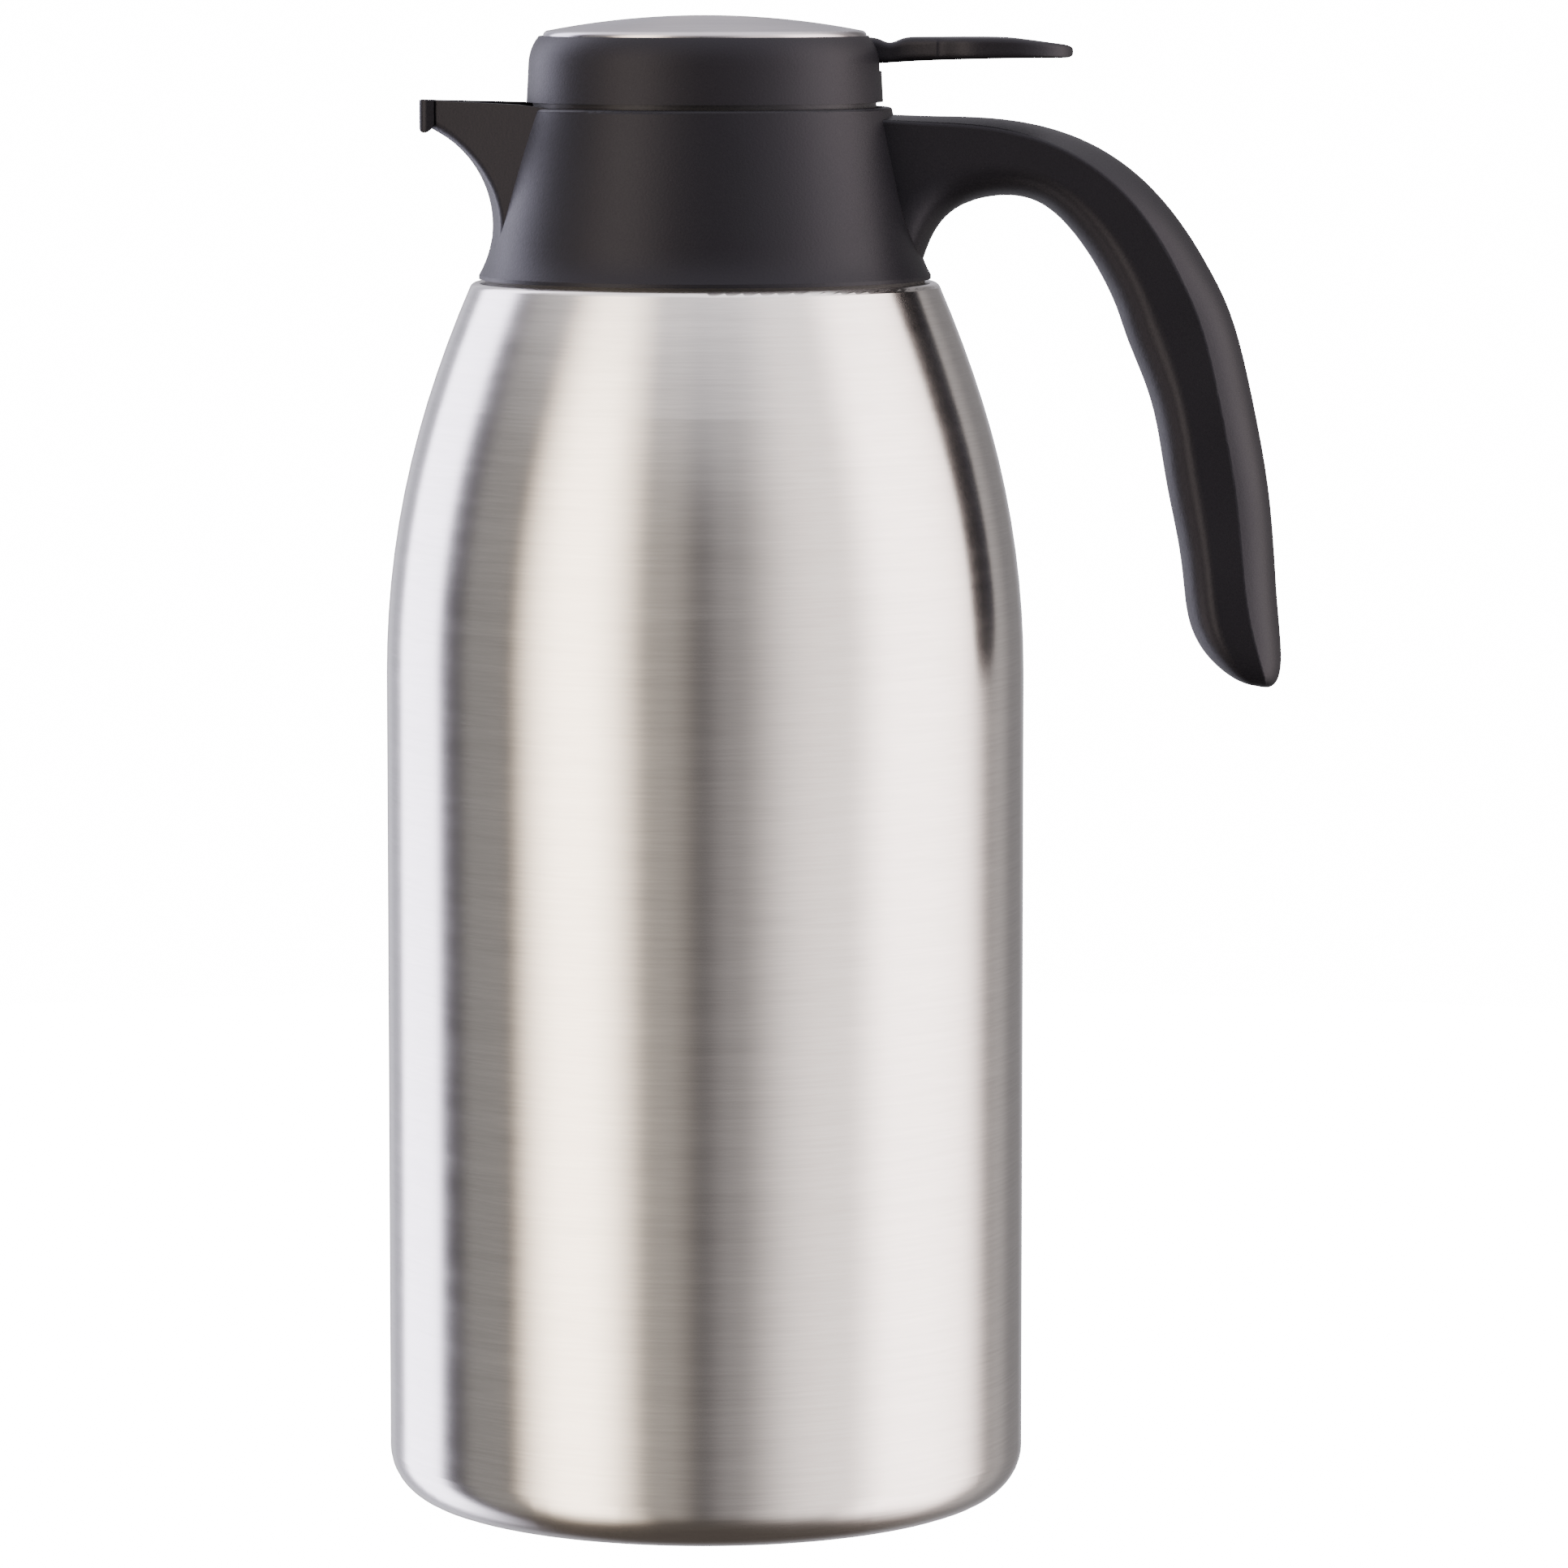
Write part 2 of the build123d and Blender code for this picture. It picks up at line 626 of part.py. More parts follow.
def top_slope():
    """Wedge above the spout, so that its rim climbs from the collar to the tip."""
    inner, (knee, knee_rise) = THROAT_R * cos(radians(SPOUT_SPREAD)), SPOUT_RIM_KNEE
    tip = keel(SPOUT_NOSE_Z) + SPOUT_LIP
    outer = tip + CUT_OVER
    rise = knee_rise + (SPOUT_TIP_RISE - knee_rise) * (outer - knee) / (tip - knee)
    section = Polyline(
        (-inner, COLLAR_TOP),
        (-knee, COLLAR_TOP + knee_rise),
        (-outer, COLLAR_TOP + rise),
        (-outer, LEDGE_TOP),
        (0, LEDGE_TOP),
        (0, COLLAR_TOP),
        close=True,
    )
    return extrude(Plane.XZ * make_face(section), BODY_R, both=True)


def collar():
    """Moulded collar: conical skirt, sleeve over the neck, throat and open spout."""
    form = collar_blank() + (spout_form() - top_slope())
    return form - collar_bore() - spout_channel()


def handle_section(outer, inner, half, crown):
    """Cross-section of the handle: low crown outside, flat flanks, rounded palm inside."""
    root = Vector(COLLAR_TOP_R, 0, COLLAR_TOP)
    start = root + Vector(outer[0], 0, -outer[1])
    across = root + Vector(inner[0], 0, -inner[1]) - start
    depth = across.length
    palm = (depth - crown) * HANDLE_PALM_SHARE
    plane = Plane(origin=start, x_dir=(0, 1, 0), z_dir=Vector(0, 1, 0).cross(across))
    edges = [
        ThreePointArc((-half, crown), (0, 0), (half, crown)),
        Line((half, crown), (half, depth - palm)),
        EllipticalCenterArc((0, depth - palm), half, palm, 0, arc_size=180),
        Line((-half, depth - palm), (-half, crown)),
    ]
    face = make_face(edges)
    corners = [v for v in face.vertices() if abs(v.Y - crown) < 1e-6]
    return plane * fillet(corners, min(HANDLE_EDGE_R, crown * HANDLE_EDGE_SHARE))


def handle():
    """C-shaped grip that grows out of the collar and ends free beside the body."""
    sections = [handle_section(*station) for station in HANDLE_STATIONS]
    return loft(sections) - collar_blank()


def neck_ring():
    """Ring clamped in the mouth: flange on the gasket, bore for the stopper and a seat below."""
    outer = MOUTH_R - SOFT_GAP
    return turned_outline(
        (RING_SEAT_R, SEAT_Z),
        (outer, SEAT_Z),
        (outer, RING_FLANGE_Z),
        (SLEEVE_R - SLIP_GAP * 2, RING_FLANGE_Z),
        (SLEEVE_R - SLIP_GAP * 2, RING_TOP),
        (RING_BORE_R, RING_TOP),
        (RING_BORE_R, SEAT_Z + RING_SEAT),
        (RING_SEAT_R, SEAT_Z + RING_SEAT),
    )


def around(piece, count, radius, start=0.0):
    """Copies of a piece on a circle about Z, as one shape."""
    return Part() + [place * piece for place in PolarLocations(radius, count, start_angle=start)]


def lever_slot(low, high, half):
    """Space that the lever passes through on its way out of the lid."""
    return block((PIVOT_X - HUB_R - HUB_ROOM, -half, low), (LID_RING_R + CUT_OVER, half, high))


def stopper_body():
    """Moulded stopper: skirt with pouring ports, deck, flange, cup wall and its bosses."""
    skirt_r = STOPPER_R - STOPPER_WALL
    groove_depth, groove_height = GASKET_GROOVE
    groove_z = DECK_Z + GROOVE_LIFT
    body = turned_outline(
        (skirt_r, STOPPER_FOOT),
        (STOPPER_R, STOPPER_FOOT),
        (STOPPER_R, DECK_Z),
        (FLANGE_R, DECK_Z),
        (FLANGE_R, groove_z),
        (FLANGE_R - groove_depth, groove_z),
        (FLANGE_R - groove_depth, groove_z + groove_height),
        (FLANGE_R, groove_z + groove_height),
        (FLANGE_R, LID_Z),
        (CUP_R, LID_Z),
        (CUP_R, CUP_TOP),
        (CUP_R - CUP_WALL, CUP_TOP),
        (CUP_R - CUP_WALL, DECK_TOP),
        (0, DECK_TOP),
        (0, DECK_TOP - DECK),
        (skirt_r, DECK_TOP - DECK),
    )
    boss = disc(BOSS_R, DECK_TOP - DECK - BOSS_DROP, BOSS_TOP)
    post = disc(SCREW_BOSS_R, DECK_TOP, LEDGE_TOP)
    body += boss + around(post, SCREW_COUNT, SCREW_CIRCLE_R, SCREW_START)
    body += pivot_ears()
    port_z = RING_TOP + PORT_LIFT + PORT_HEIGHT / 2
    port = Box(STOPPER_WALL + 2 * CUT_OVER, PORT_WIDTH, PORT_HEIGHT)
    port = fillet(port.edges().filter_by(Axis.X), PORT_R)
    body -= Pos(0, 0, port_z) * around(port, PORT_COUNT, STOPPER_R - STOPPER_WALL / 2)
    body -= disc(STEM_R + RUNNING_GAP, STOPPER_FOOT, BOSS_TOP)
    body -= disc(WIPER_R + RUNNING_GAP, BOSS_TOP - WIPER, BOSS_TOP)
    hole = disc(SCREW_R, LEDGE_TOP - SCREW_LENGTH, LEDGE_TOP)
    body -= around(hole, SCREW_COUNT, SCREW_CIRCLE_R, SCREW_START)
    half = LEVER_NECK / 2 + LEVER_SIDE_GAP
    body -= lever_slot(PIVOT_Z - HUB_R - LEVER_FOOT_GAP, LEDGE_TOP, half)
    return body - pin_bore()


def pivot_ears():
    """Pair of ears beside the lever that hold its pin, joined to the cup wall."""
    inner = LEVER_NECK / 2 + LEVER_SIDE_GAP
    ears = [
        block((PIVOT_X - HUB_R - HUB_ROOM, side, DECK_TOP), (CUP_R, side + EAR, CUP_TOP))
        for side in (inner, -inner - EAR)
    ]
    return (ears[0] + ears[1]) & disc(CUP_R - CUP_WALL / 2, DECK_TOP, CUP_TOP)


def pin_bore():
    """Cross bore for the lever's pin."""
    pin = Cylinder(PIN_R + RUNNING_GAP, PIN_LENGTH + 2 * PIN_END_GAP, rotation=(90, 0, 0))
    return Pos(PIVOT_X, 0, PIVOT_Z) * pin


def lever_pin():
    """Steel pin that the lever turns on."""
    pin = Cylinder(PIN_R, PIN_LENGTH, rotation=(90, 0, 0))
    return Pos(PIVOT_X, 0, PIVOT_Z) * chamfer(pin.edges(), PIN_CHAMFER)


def seat_plate():
    """Plate that closes the stopper's foot, with the raised seat of the valve."""
    skirt_r = STOPPER_R - STOPPER_WALL
    edge_r = RING_SEAT_R - SOFT_GAP
    return turned_outline(
        (SEAT_HOLE_R, PLATE_Z),
        (edge_r, PLATE_Z),
        (edge_r, STOPPER_FOOT),
        (skirt_r, STOPPER_FOOT),
        (skirt_r, STOPPER_FOOT + PLATE_COLLAR),
        (skirt_r - PLATE_COLLAR_WALL, STOPPER_FOOT + PLATE_COLLAR),
        (skirt_r - PLATE_COLLAR_WALL, STOPPER_FOOT),
        (SEAT_HOLE_R + SEAT_LIP + SEAT_LIP_SLOPE, STOPPER_FOOT),
        (SEAT_HOLE_R + SEAT_LIP, VALVE_SEAT_Z),
        (SEAT_HOLE_R, VALVE_SEAT_Z),
    )


def stopper_seal():
    """Soft ring under the stopper's skirt that presses on the seat in the mouth."""
    inner = RING_SEAT_R - SOFT_GAP
    return washer(inner, inner + SEAL_WIDTH, SEAT_Z + RING_SEAT, STOPPER_FOOT)


def upper_gasket():
    """Soft ring in the flange's groove that wipes the collar's throat."""
    depth, height = GASKET_GROOVE
    low = DECK_Z + GROOVE_LIFT
    inner = FLANGE_R - depth
    outer = THROAT_R - SOFT_GAP / 2
    ring = washer(inner, outer, low, low + height)
    rims = ring.edges().filter_by(GeomType.CIRCLE).group_by(SortBy.RADIUS)[-1]
    return fillet(rims, GASKET_ROUNDING)


def lid_ring():
    """Black ring of the lid, drafted side, rounded shoulder and a ledge for the disc."""
    lean = Vector(-sin(radians(LID_RING_DRAFT)), cos(radians(LID_RING_DRAFT)))
    turn = radians(LID_RING_SHOULDER_TURN)
    draft = radians(LID_RING_DRAFT)
    side_height = LID_RING_HEIGHT - LID_RING_SHOULDER_R * (sin(turn + draft) - sin(draft))
    side = Line((LID_RING_R, LID_Z), Vector(LID_RING_R, LID_Z) + lean * (side_height / lean.Y))
    crest = JernArc(side @ 1, side % 1, LID_RING_SHOULDER_R, LID_RING_SHOULDER_TURN)
    seat_r = DISC_R + SLIP_GAP
    bore_r = CUP_R + SLIP_GAP
    inside = Polyline(
        crest @ 1,
        (seat_r, (crest @ 1).Y),
        (seat_r, LEDGE_TOP),
        (CUP_R - CUP_WALL - LID_RING_LEDGE_LAP, LEDGE_TOP),
        (CUP_R - CUP_WALL - LID_RING_LEDGE_LAP, CUP_TOP),
        (bore_r, CUP_TOP),
        (bore_r, LID_Z),
        side @ 0,
    )
    ring = turned([side, crest, inside])
    half = LEVER_NECK / 2 + LEVER_SIDE_GAP
    return ring - lever_slot(PIVOT_Z - LEVER_FOOT_GAP, DISC_Z + LEVER_DROP, half)


def lid_carrier():
    """Plate under the disc: clamps the ring, carries the spring's cup and the screws."""
    plate = disc(DISC_R, LEDGE_TOP, LEDGE_TOP + CARRIER)
    nub_gap, nub_height = SPRING_NUB
    nub_z = LEDGE_TOP - nub_height
    nub = disc(SPRING_R - SPRING_WIRE_R - nub_gap, nub_z, LEDGE_TOP)
    hole = disc(SCREW_R + SLIP_GAP, LEDGE_TOP, LEDGE_TOP + CARRIER)
    relief = disc(STEM_R + nub_gap, nub_z, LEDGE_TOP + CARRIER)
    return plate + nub - relief - around(hole, SCREW_COUNT, SCREW_CIRCLE_R, SCREW_START)


def top_disc():
    """Domed steel disc on top of the lid, with a rounded edge and a short turned-down rim."""
    crown_z = DISC_Z + DISC_EDGE_R + DISC_CROWN
    chord = DISC_R - DISC_EDGE_R
    sphere_r = (chord**2 + DISC_CROWN**2) / (2 * DISC_CROWN)
    reach = degrees(asin(chord / (sphere_r - DISC_EDGE_R)))
    skins = []
    for inset in (0, DISC_WALL):
        dome = JernArc((0, crown_z - inset), (1, 0), sphere_r - inset, -reach)
        edge = JernArc(dome @ 1, dome % 1, DISC_EDGE_R - inset, reach - 90)
        rim = Line(edge @ 1, ((edge @ 1).X, LEDGE_TOP + CARRIER))
        skins.append([dome, edge, rim])
    outside, inside = skins
    ends = [Line(outside[0] @ 0, inside[0] @ 0), Line(outside[-1] @ 1, inside[-1] @ 1)]
    return turned([*outside, *inside, *ends])


def lid_screws():
    """Screws that clamp the carrier and the ring to the stopper."""
    top = LEDGE_TOP + CARRIER
    head = disc(SCREW_HEAD_R, top, top + SCREW_HEAD)
    head = fillet(head.edges().group_by(Axis.Z)[-1], SCREW_HEAD_ROUNDING)
    socket_r, socket_depth = SCREW_SOCKET
    head -= disc(socket_r, top + SCREW_HEAD - socket_depth, top + SCREW_HEAD)
    screw = head + disc(SCREW_R, LEDGE_TOP - SCREW_LENGTH, top)
    return around(screw, SCREW_COUNT, SCREW_CIRCLE_R, SCREW_START)


def valve_stem():
    """Steel rod that carries the plug below and the head above."""
    rod = disc(STEM_R, PLUG_Z, PLUG_Z + STEM_LENGTH)
    return chamfer(rod.edges().group_by(Axis.Z)[-1], STEM_CHAMFER)


def valve_plug():
    """Disc of the valve with the hub that holds it on the stem."""
    plug = turned_outline(
        (STEM_R, PLUG_Z),
        (PLUG_R, PLUG_Z),
        (PLUG_R, PLUG_Z + PLUG_EDGE),
        (PLUG_HUB_R + PLUG_CONE, PLUG_Z + PLUG),
        (PLUG_HUB_R, PLUG_Z + PLUG + PLUG_HUB),
        (STEM_R, PLUG_Z + PLUG + PLUG_HUB),
    )
    return plug


def valve_seal():
    """Soft face under the plug that rests on the valve's seat."""
    seal = disc(PLUG_SEAL_R, VALVE_SEAT_Z, PLUG_Z)
    return fillet(seal.edges().group_by(Axis.Z)[0], PLUG_SEAL_ROUNDING)


def stem_wiper():
    """Small soft ring in the deck's boss that wipes the stem."""
    return washer(STEM_R + RUNNING_GAP, WIPER_R, BOSS_TOP - WIPER, BOSS_TOP)


def stem_head():
    """Flanged head on the stem that the lever's fork lifts and the spring presses on."""
    return washer(STEM_R, HEAD_R, HEAD_Z, HEAD_Z + HEAD)


def coil(height, turn_share):
    """Point on the spring's centre line, a share of its turns along."""
    return Vector(SPRING_R * at(360 * turn_share * SPRING_TURNS)) + Vector(0, 0, height)


def valve_spring():
    """Compression spring between the head and the carrier, one unbroken tube."""
    low = HEAD_Z + HEAD + SPRING_WIRE_R + SPRING_END_GAP
    high = LEDGE_TOP - SPRING_WIRE_R - SPRING_END_GAP
    quarters = round(SPRING_TURNS * 4)
    rise = (high - low) / quarters
    arcs = []
    for i in range(quarters):
        points = [
            coil(low + rise * (i + part), (i + part) / quarters) for part in (0, 0.5, 1)
        ]
        arcs.append(ThreePointArc(*points))
    pitch = (high - low) / SPRING_TURNS
    print("valve_spring: least gap between turns", round(pitch - 2 * SPRING_WIRE_R, 2), "mm")
    start = Plane(origin=arcs[0] @ 0, z_dir=arcs[0] % 0)
    return sweep(start * Circle(SPRING_WIRE_R), path=Wire(arcs))


def lever_top(back):
    """How far the lever's top lies below its level, in the dip behind the lid and to the tip."""
    dip_back, dip_width, dip = LEVER_DIP
    slope_start, slope = LEVER_SLOPE
    past = slope_start - back
    fall = slope * (past + sqrt(past**2 + LEVER_SLOPE_BEND**2)) / 2
    return fall + dip * exp(-(((back - dip_back) / dip_width) ** 2))


def lever_half(back):
    """Half the lever's width: narrow neck, wide pad, round end."""
    flare_start, flare_end = LEVER_FLARE
    share = min(max((flare_start - back) / (flare_start - flare_end), 0), 1)
    share = share**2 * (3 - 2 * share)
    end = max(1 - back / LEVER_PAD_END, 0)
    width = LEVER_NECK + (LEVER_PAD - LEVER_NECK) * share
    return width / 2 * sqrt(1 - end**LEVER_PAD_ROUNDNESS)


def lever_slice(back):
    """Cross-section of the lever at a distance back from its tip."""
    pad_middle = LEVER_PAD_END / 2
    along = max(back - pad_middle, 0) / (LEVER_LENGTH - pad_middle)
    under = LEVER_PAD_THICKNESS + (LEVER_NECK_THICKNESS - LEVER_PAD_THICKNESS) * along**2
    top, half = lever_top(back), lever_half(back)
    thickness = (under - top) * sqrt(1 - max(1 - back / LEVER_TIP_R, 0) ** 2)
    middle = DISC_Z - LEVER_DROP - (under + top) / 2
    outline = RectangleRounded(2 * half, thickness, min(thickness, half) * LEVER_ROUNDING)
    return Plane(origin=(LEVER_REACH - back, 0, middle), x_dir=(0, 1, 0), z_dir=(1, 0, 0)) * outline


def lever_pad():
    """Outer part of the lever, from its neck to the rounded tip of the thumb pad."""
    steps = LEVER_SECTIONS
    waist = LEVER_DIP[0] - 4 * LEVER_DIP[1]
    last = asin(1 - LEVER_TIP_FACE / waist)
    neck = [LEVER_LENGTH + (waist - LEVER_LENGTH) * i / steps for i in range(steps + 1)]
    pad = [waist * (1 - sin(last * i / steps)) for i in range(steps + 1)]
    return loft([lever_slice(back) for back in neck]) + loft([lever_slice(back) for back in pad])


def lever_arm():
    """Inner part of the lever in the lid: hub, cranked arm and the fork under the head."""
    nub_z = HEAD_Z - SOFT_GAP - FORK_NUB_R
    fork_top = nub_z + FORK_NUB_SUNK
    fork_low = BOSS_TOP + SOFT_GAP
    fork_end = -HEAD_R + FORK_SHORTFALL
    root = PIVOT_X + LEVER_ROOT
    under = DISC_Z - LEVER_DROP - LEVER_NECK_THICKNESS
    brow_z = PIVOT_Z + HUB_R - ARM_BROW[1]
    outline = Polyline(
        (root + ARM_LAP, under + ARM_LAP),
        (PIVOT_X + ARM_HEEL[0], PIVOT_Z - ARM_HEEL[1]),
        (PIVOT_X - ARM_BELLY[0], PIVOT_Z - ARM_BELLY[1]),
        (HEAD_R + ARM_KNEE[0], fork_top + ARM_KNEE[1]),
        (HEAD_R + ARM_TOE, fork_low),
        (fork_end, fork_low),
        (fork_end, fork_top),
        (HEAD_R + ARM_THROAT[0], fork_top),
        (HEAD_R + ARM_THROAT[1], fork_top + ARM_THROAT_RISE),
        (PIVOT_X - ARM_BACK[0], PIVOT_Z + ARM_BACK[1]),
        (PIVOT_X - ARM_BROW[0], brow_z),
        (root + ARM_LAP, brow_z),
        close=True,
    )
    arm = extrude(Plane.XZ * make_face(outline), FORK_WIDTH / 2, both=True)
    nub = Pos(0, 0, nub_z) * Cylinder(FORK_NUB_R, FORK_WIDTH, rotation=(90, 0, 0))
    hub = Pos(PIVOT_X, 0, PIVOT_Z) * Cylinder(HUB_R, LEVER_NECK, rotation=(90, 0, 0))
    half = FORK_SLOT / 2
    slot = block((-HEAD_R, -half, BOSS_TOP), (half + FORK_SLOT_END, half, HEAD_Z))
    slot = fillet(slot.edges().filter_by(Axis.Z).group_by(Axis.X)[-1], half - SLIP_GAP)
    return arm + nub + hub - slot


def lever():
    """Thumb lever: pad outside the lid, hub on the pin, arm and fork inside."""
    bore = Cylinder(PIN_R + RUNNING_GAP, LEVER_NECK + CUT_OVER, rotation=(90, 0, 0))
    return lever_pad() + lever_arm() - Pos(PIVOT_X, 0, PIVOT_Z) * bore


PIECES = (
    outer_shell,
    vacuum_floor,
    vacuum_seal,
    getter,
    base_cover,
    inner_neck,
    inner_shoulder,
    inner_band,
    inner_tube,
    inner_bottom,
    shoulder_gasket,
    rim_gasket,
    collar,
    handle,
    neck_ring,
    stopper_body,
    seat_plate,
    stopper_seal,
    upper_gasket,
    lid_ring,
    lid_carrier,
    top_disc,
    lid_screws,
    lever,
    lever_pin,
    valve_stem,
    valve_plug,
    valve_seal,
    stem_wiper,
    stem_head,
    valve_spring,
)

os.makedirs("parts", exist_ok=True)
for piece in PIECES:
    export_step(piece(), f"parts/{piece.__name__}.step")
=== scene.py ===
"""Looks, threads, spring and studio of a vacuum carafe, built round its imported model."""

import logging
import math
from dataclasses import dataclass
from enum import Enum
from typing import ClassVar

import bmesh
import bpy
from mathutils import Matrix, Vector


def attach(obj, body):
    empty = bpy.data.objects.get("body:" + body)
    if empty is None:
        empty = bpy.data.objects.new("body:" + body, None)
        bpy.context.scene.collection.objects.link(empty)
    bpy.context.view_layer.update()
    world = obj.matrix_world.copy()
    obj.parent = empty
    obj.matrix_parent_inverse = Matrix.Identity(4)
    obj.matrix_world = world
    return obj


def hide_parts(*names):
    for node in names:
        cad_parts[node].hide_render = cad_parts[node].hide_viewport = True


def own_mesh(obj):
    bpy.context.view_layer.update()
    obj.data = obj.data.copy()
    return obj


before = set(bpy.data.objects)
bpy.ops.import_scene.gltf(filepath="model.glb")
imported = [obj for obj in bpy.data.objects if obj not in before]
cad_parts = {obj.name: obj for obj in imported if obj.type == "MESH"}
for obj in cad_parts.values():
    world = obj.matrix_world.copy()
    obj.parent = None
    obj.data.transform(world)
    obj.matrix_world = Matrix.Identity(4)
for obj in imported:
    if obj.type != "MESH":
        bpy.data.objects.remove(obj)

MM = 0.001
SHARP_ANGLE = math.radians(35)
MERGE_MM = 0.001
SHEET_COLUMNS = 8
SHEET_STEP_X = 200
SHEET_STEP_Y = -260
LOG = logging.getLogger("carafe")

Colour = tuple[float, float, float]
Socket = bpy.types.NodeSocket


def lay_out(tree: bpy.types.NodeTree) -> None:
    """Spreads a tree's nodes over its sheet, in the order that they were made.

    Args:
        tree: the node tree of a group, a material or a modifier.
    """
    for place, node in enumerate(tree.nodes):
        row, column = divmod(place, SHEET_COLUMNS)
        node.location = (SHEET_STEP_X * column, SHEET_STEP_Y * row)


@dataclass(frozen=True)
class Noise:
    """Settings of a noise texture: features to a unit, octaves and the finer octaves' share."""

    scale: float = 1.0
    detail: float = 2.0
    rough: float = 0.5


class NodeSheet:
    """A node tree with short ways to add and link its nodes."""

    def __init__(self, tree: bpy.types.NodeTree) -> None:
        """Takes the tree that the nodes go into."""
        self.tree = tree

    def add(self, kind: str, **values: object) -> bpy.types.Node:
        """Adds one node.

        Args:
            kind: the node's type name.
            values: properties of the node, by name.

        Returns:
            The new node.
        """
        node = self.tree.nodes.new(kind)
        for name, value in values.items():
            setattr(node, name, value)
        return node

    def link(self, source: Socket, target: Socket) -> None:
        """Links an output to an input."""
        self.tree.links.new(source, target)

    def feed(self, socket: Socket, value: object) -> None:
        """Sets a socket from another socket or from a plain value.

        Args:
            socket: the input to set.
            value: what goes into it.
        """
        if isinstance(value, Socket):
            self.link(value, socket)
        else:
            socket.default_value = value

    def maths(self, operation: str, *values: object) -> Socket:
        """Adds a Math node.

        Args:
            operation: the node's operation.
            values: its inputs, each a socket or a number.

        Returns:
            The result's socket.
        """
        node = self.add("ShaderNodeMath", operation=operation)
        for socket, value in zip(node.inputs, values):
            self.feed(socket, value)
        return node.outputs[0]

    def vector(self, operation: str, *values: object) -> Socket:
        """Adds a Vector Math node.

        Args:
            operation: the node's operation.
            values: its inputs, each a socket or a tuple of three numbers.

        Returns:
            The result's socket.
        """
        node = self.add("ShaderNodeVectorMath", operation=operation)
        for socket, value in zip(node.inputs, values):
            self.feed(socket, value)
        return node.outputs[0]

    def swing(self, value: Socket, reach: float) -> Socket:
        """Maps 0 to 1 onto minus reach to reach, without clamping.

        Args:
            value: the socket to map.
            reach: result at 1.

        Returns:
            The result's socket.
        """
        node = self.add("ShaderNodeMapRange", clamp=False)
        self.feed(node.inputs["Value"], value)
        node.inputs["To Min"].default_value = -reach
        node.inputs["To Max"].default_value = reach
        return node.outputs["Result"]

    def swings(self, first: Socket, reach: float, second: Socket, span: float) -> Socket:
        """Adds two sockets from 0 to 1, each swung to both sides of 0.

        Args:
            first: one socket.
            reach: how far it swings.
            second: the other socket.
            span: how far that swings.

        Returns:
            The sum's socket.
        """
        swung = self.swing(first, reach)
        return self.maths("ADD", swung, self.swing(second, span))

    def weighed(self, first: Socket, share: float, second: Socket, rest: float) -> Socket:
        """Adds two sockets, each times its own share.

        Args:
            first: one socket.
            share: what it is multiplied by.
            second: the other socket.
            rest: what that is multiplied by.

        Returns:
            The sum's socket.
        """
        part = self.maths("MULTIPLY", first, share)
        return self.maths("ADD", part, self.maths("MULTIPLY", second, rest))

    def noise(self, place: Socket, look: Noise) -> Socket:
        """Adds a noise texture.

        Args:
            place: socket with the coordinates.
            look: the texture's settings.

        Returns:
            The factor's socket.
        """
        node = self.add("ShaderNodeTexNoise")
        self.feed(node.inputs["Vector"], place)
        node.inputs["Scale"].default_value = look.scale
        node.inputs["Detail"].default_value = look.detail
        node.inputs["Roughness"].default_value = look.rough
        return node.outputs["Fac"]

    def scaled(self, vector: object, factor: Socket) -> Socket:
        """Multiplies a vector or a colour by a number.

        Args:
            vector: a socket or a tuple of three numbers.
            factor: socket of the number.

        Returns:
            The result's socket.
        """
        node = self.add("ShaderNodeVectorMath", operation="SCALE")
        self.feed(node.inputs[0], vector)
        self.link(factor, node.inputs["Scale"])
        return node.outputs[0]

    def mixed(self, share: Socket, first: Socket, second: Colour) -> Socket:
        """Turns one light into another.

        Args:
            share: socket that is 0 where the first is whole and 1 where the second is.
            first: socket of the one light.
            second: the other light.

        Returns:
            The mixed light's socket.
        """
        node = self.add("ShaderNodeMix", data_type="VECTOR")
        factor, _, _, _, start, end, *_ = node.inputs
        self.link(share, factor)
        self.link(first, start)
        end.default_value = second
        return node.outputs[1]


class GroupName(Enum):
    """The shader groups that the finishes share."""

    BRUSHING = "brushed lines"
    GRAIN = "moulded grain"
    SPECKS = "dust and specks"


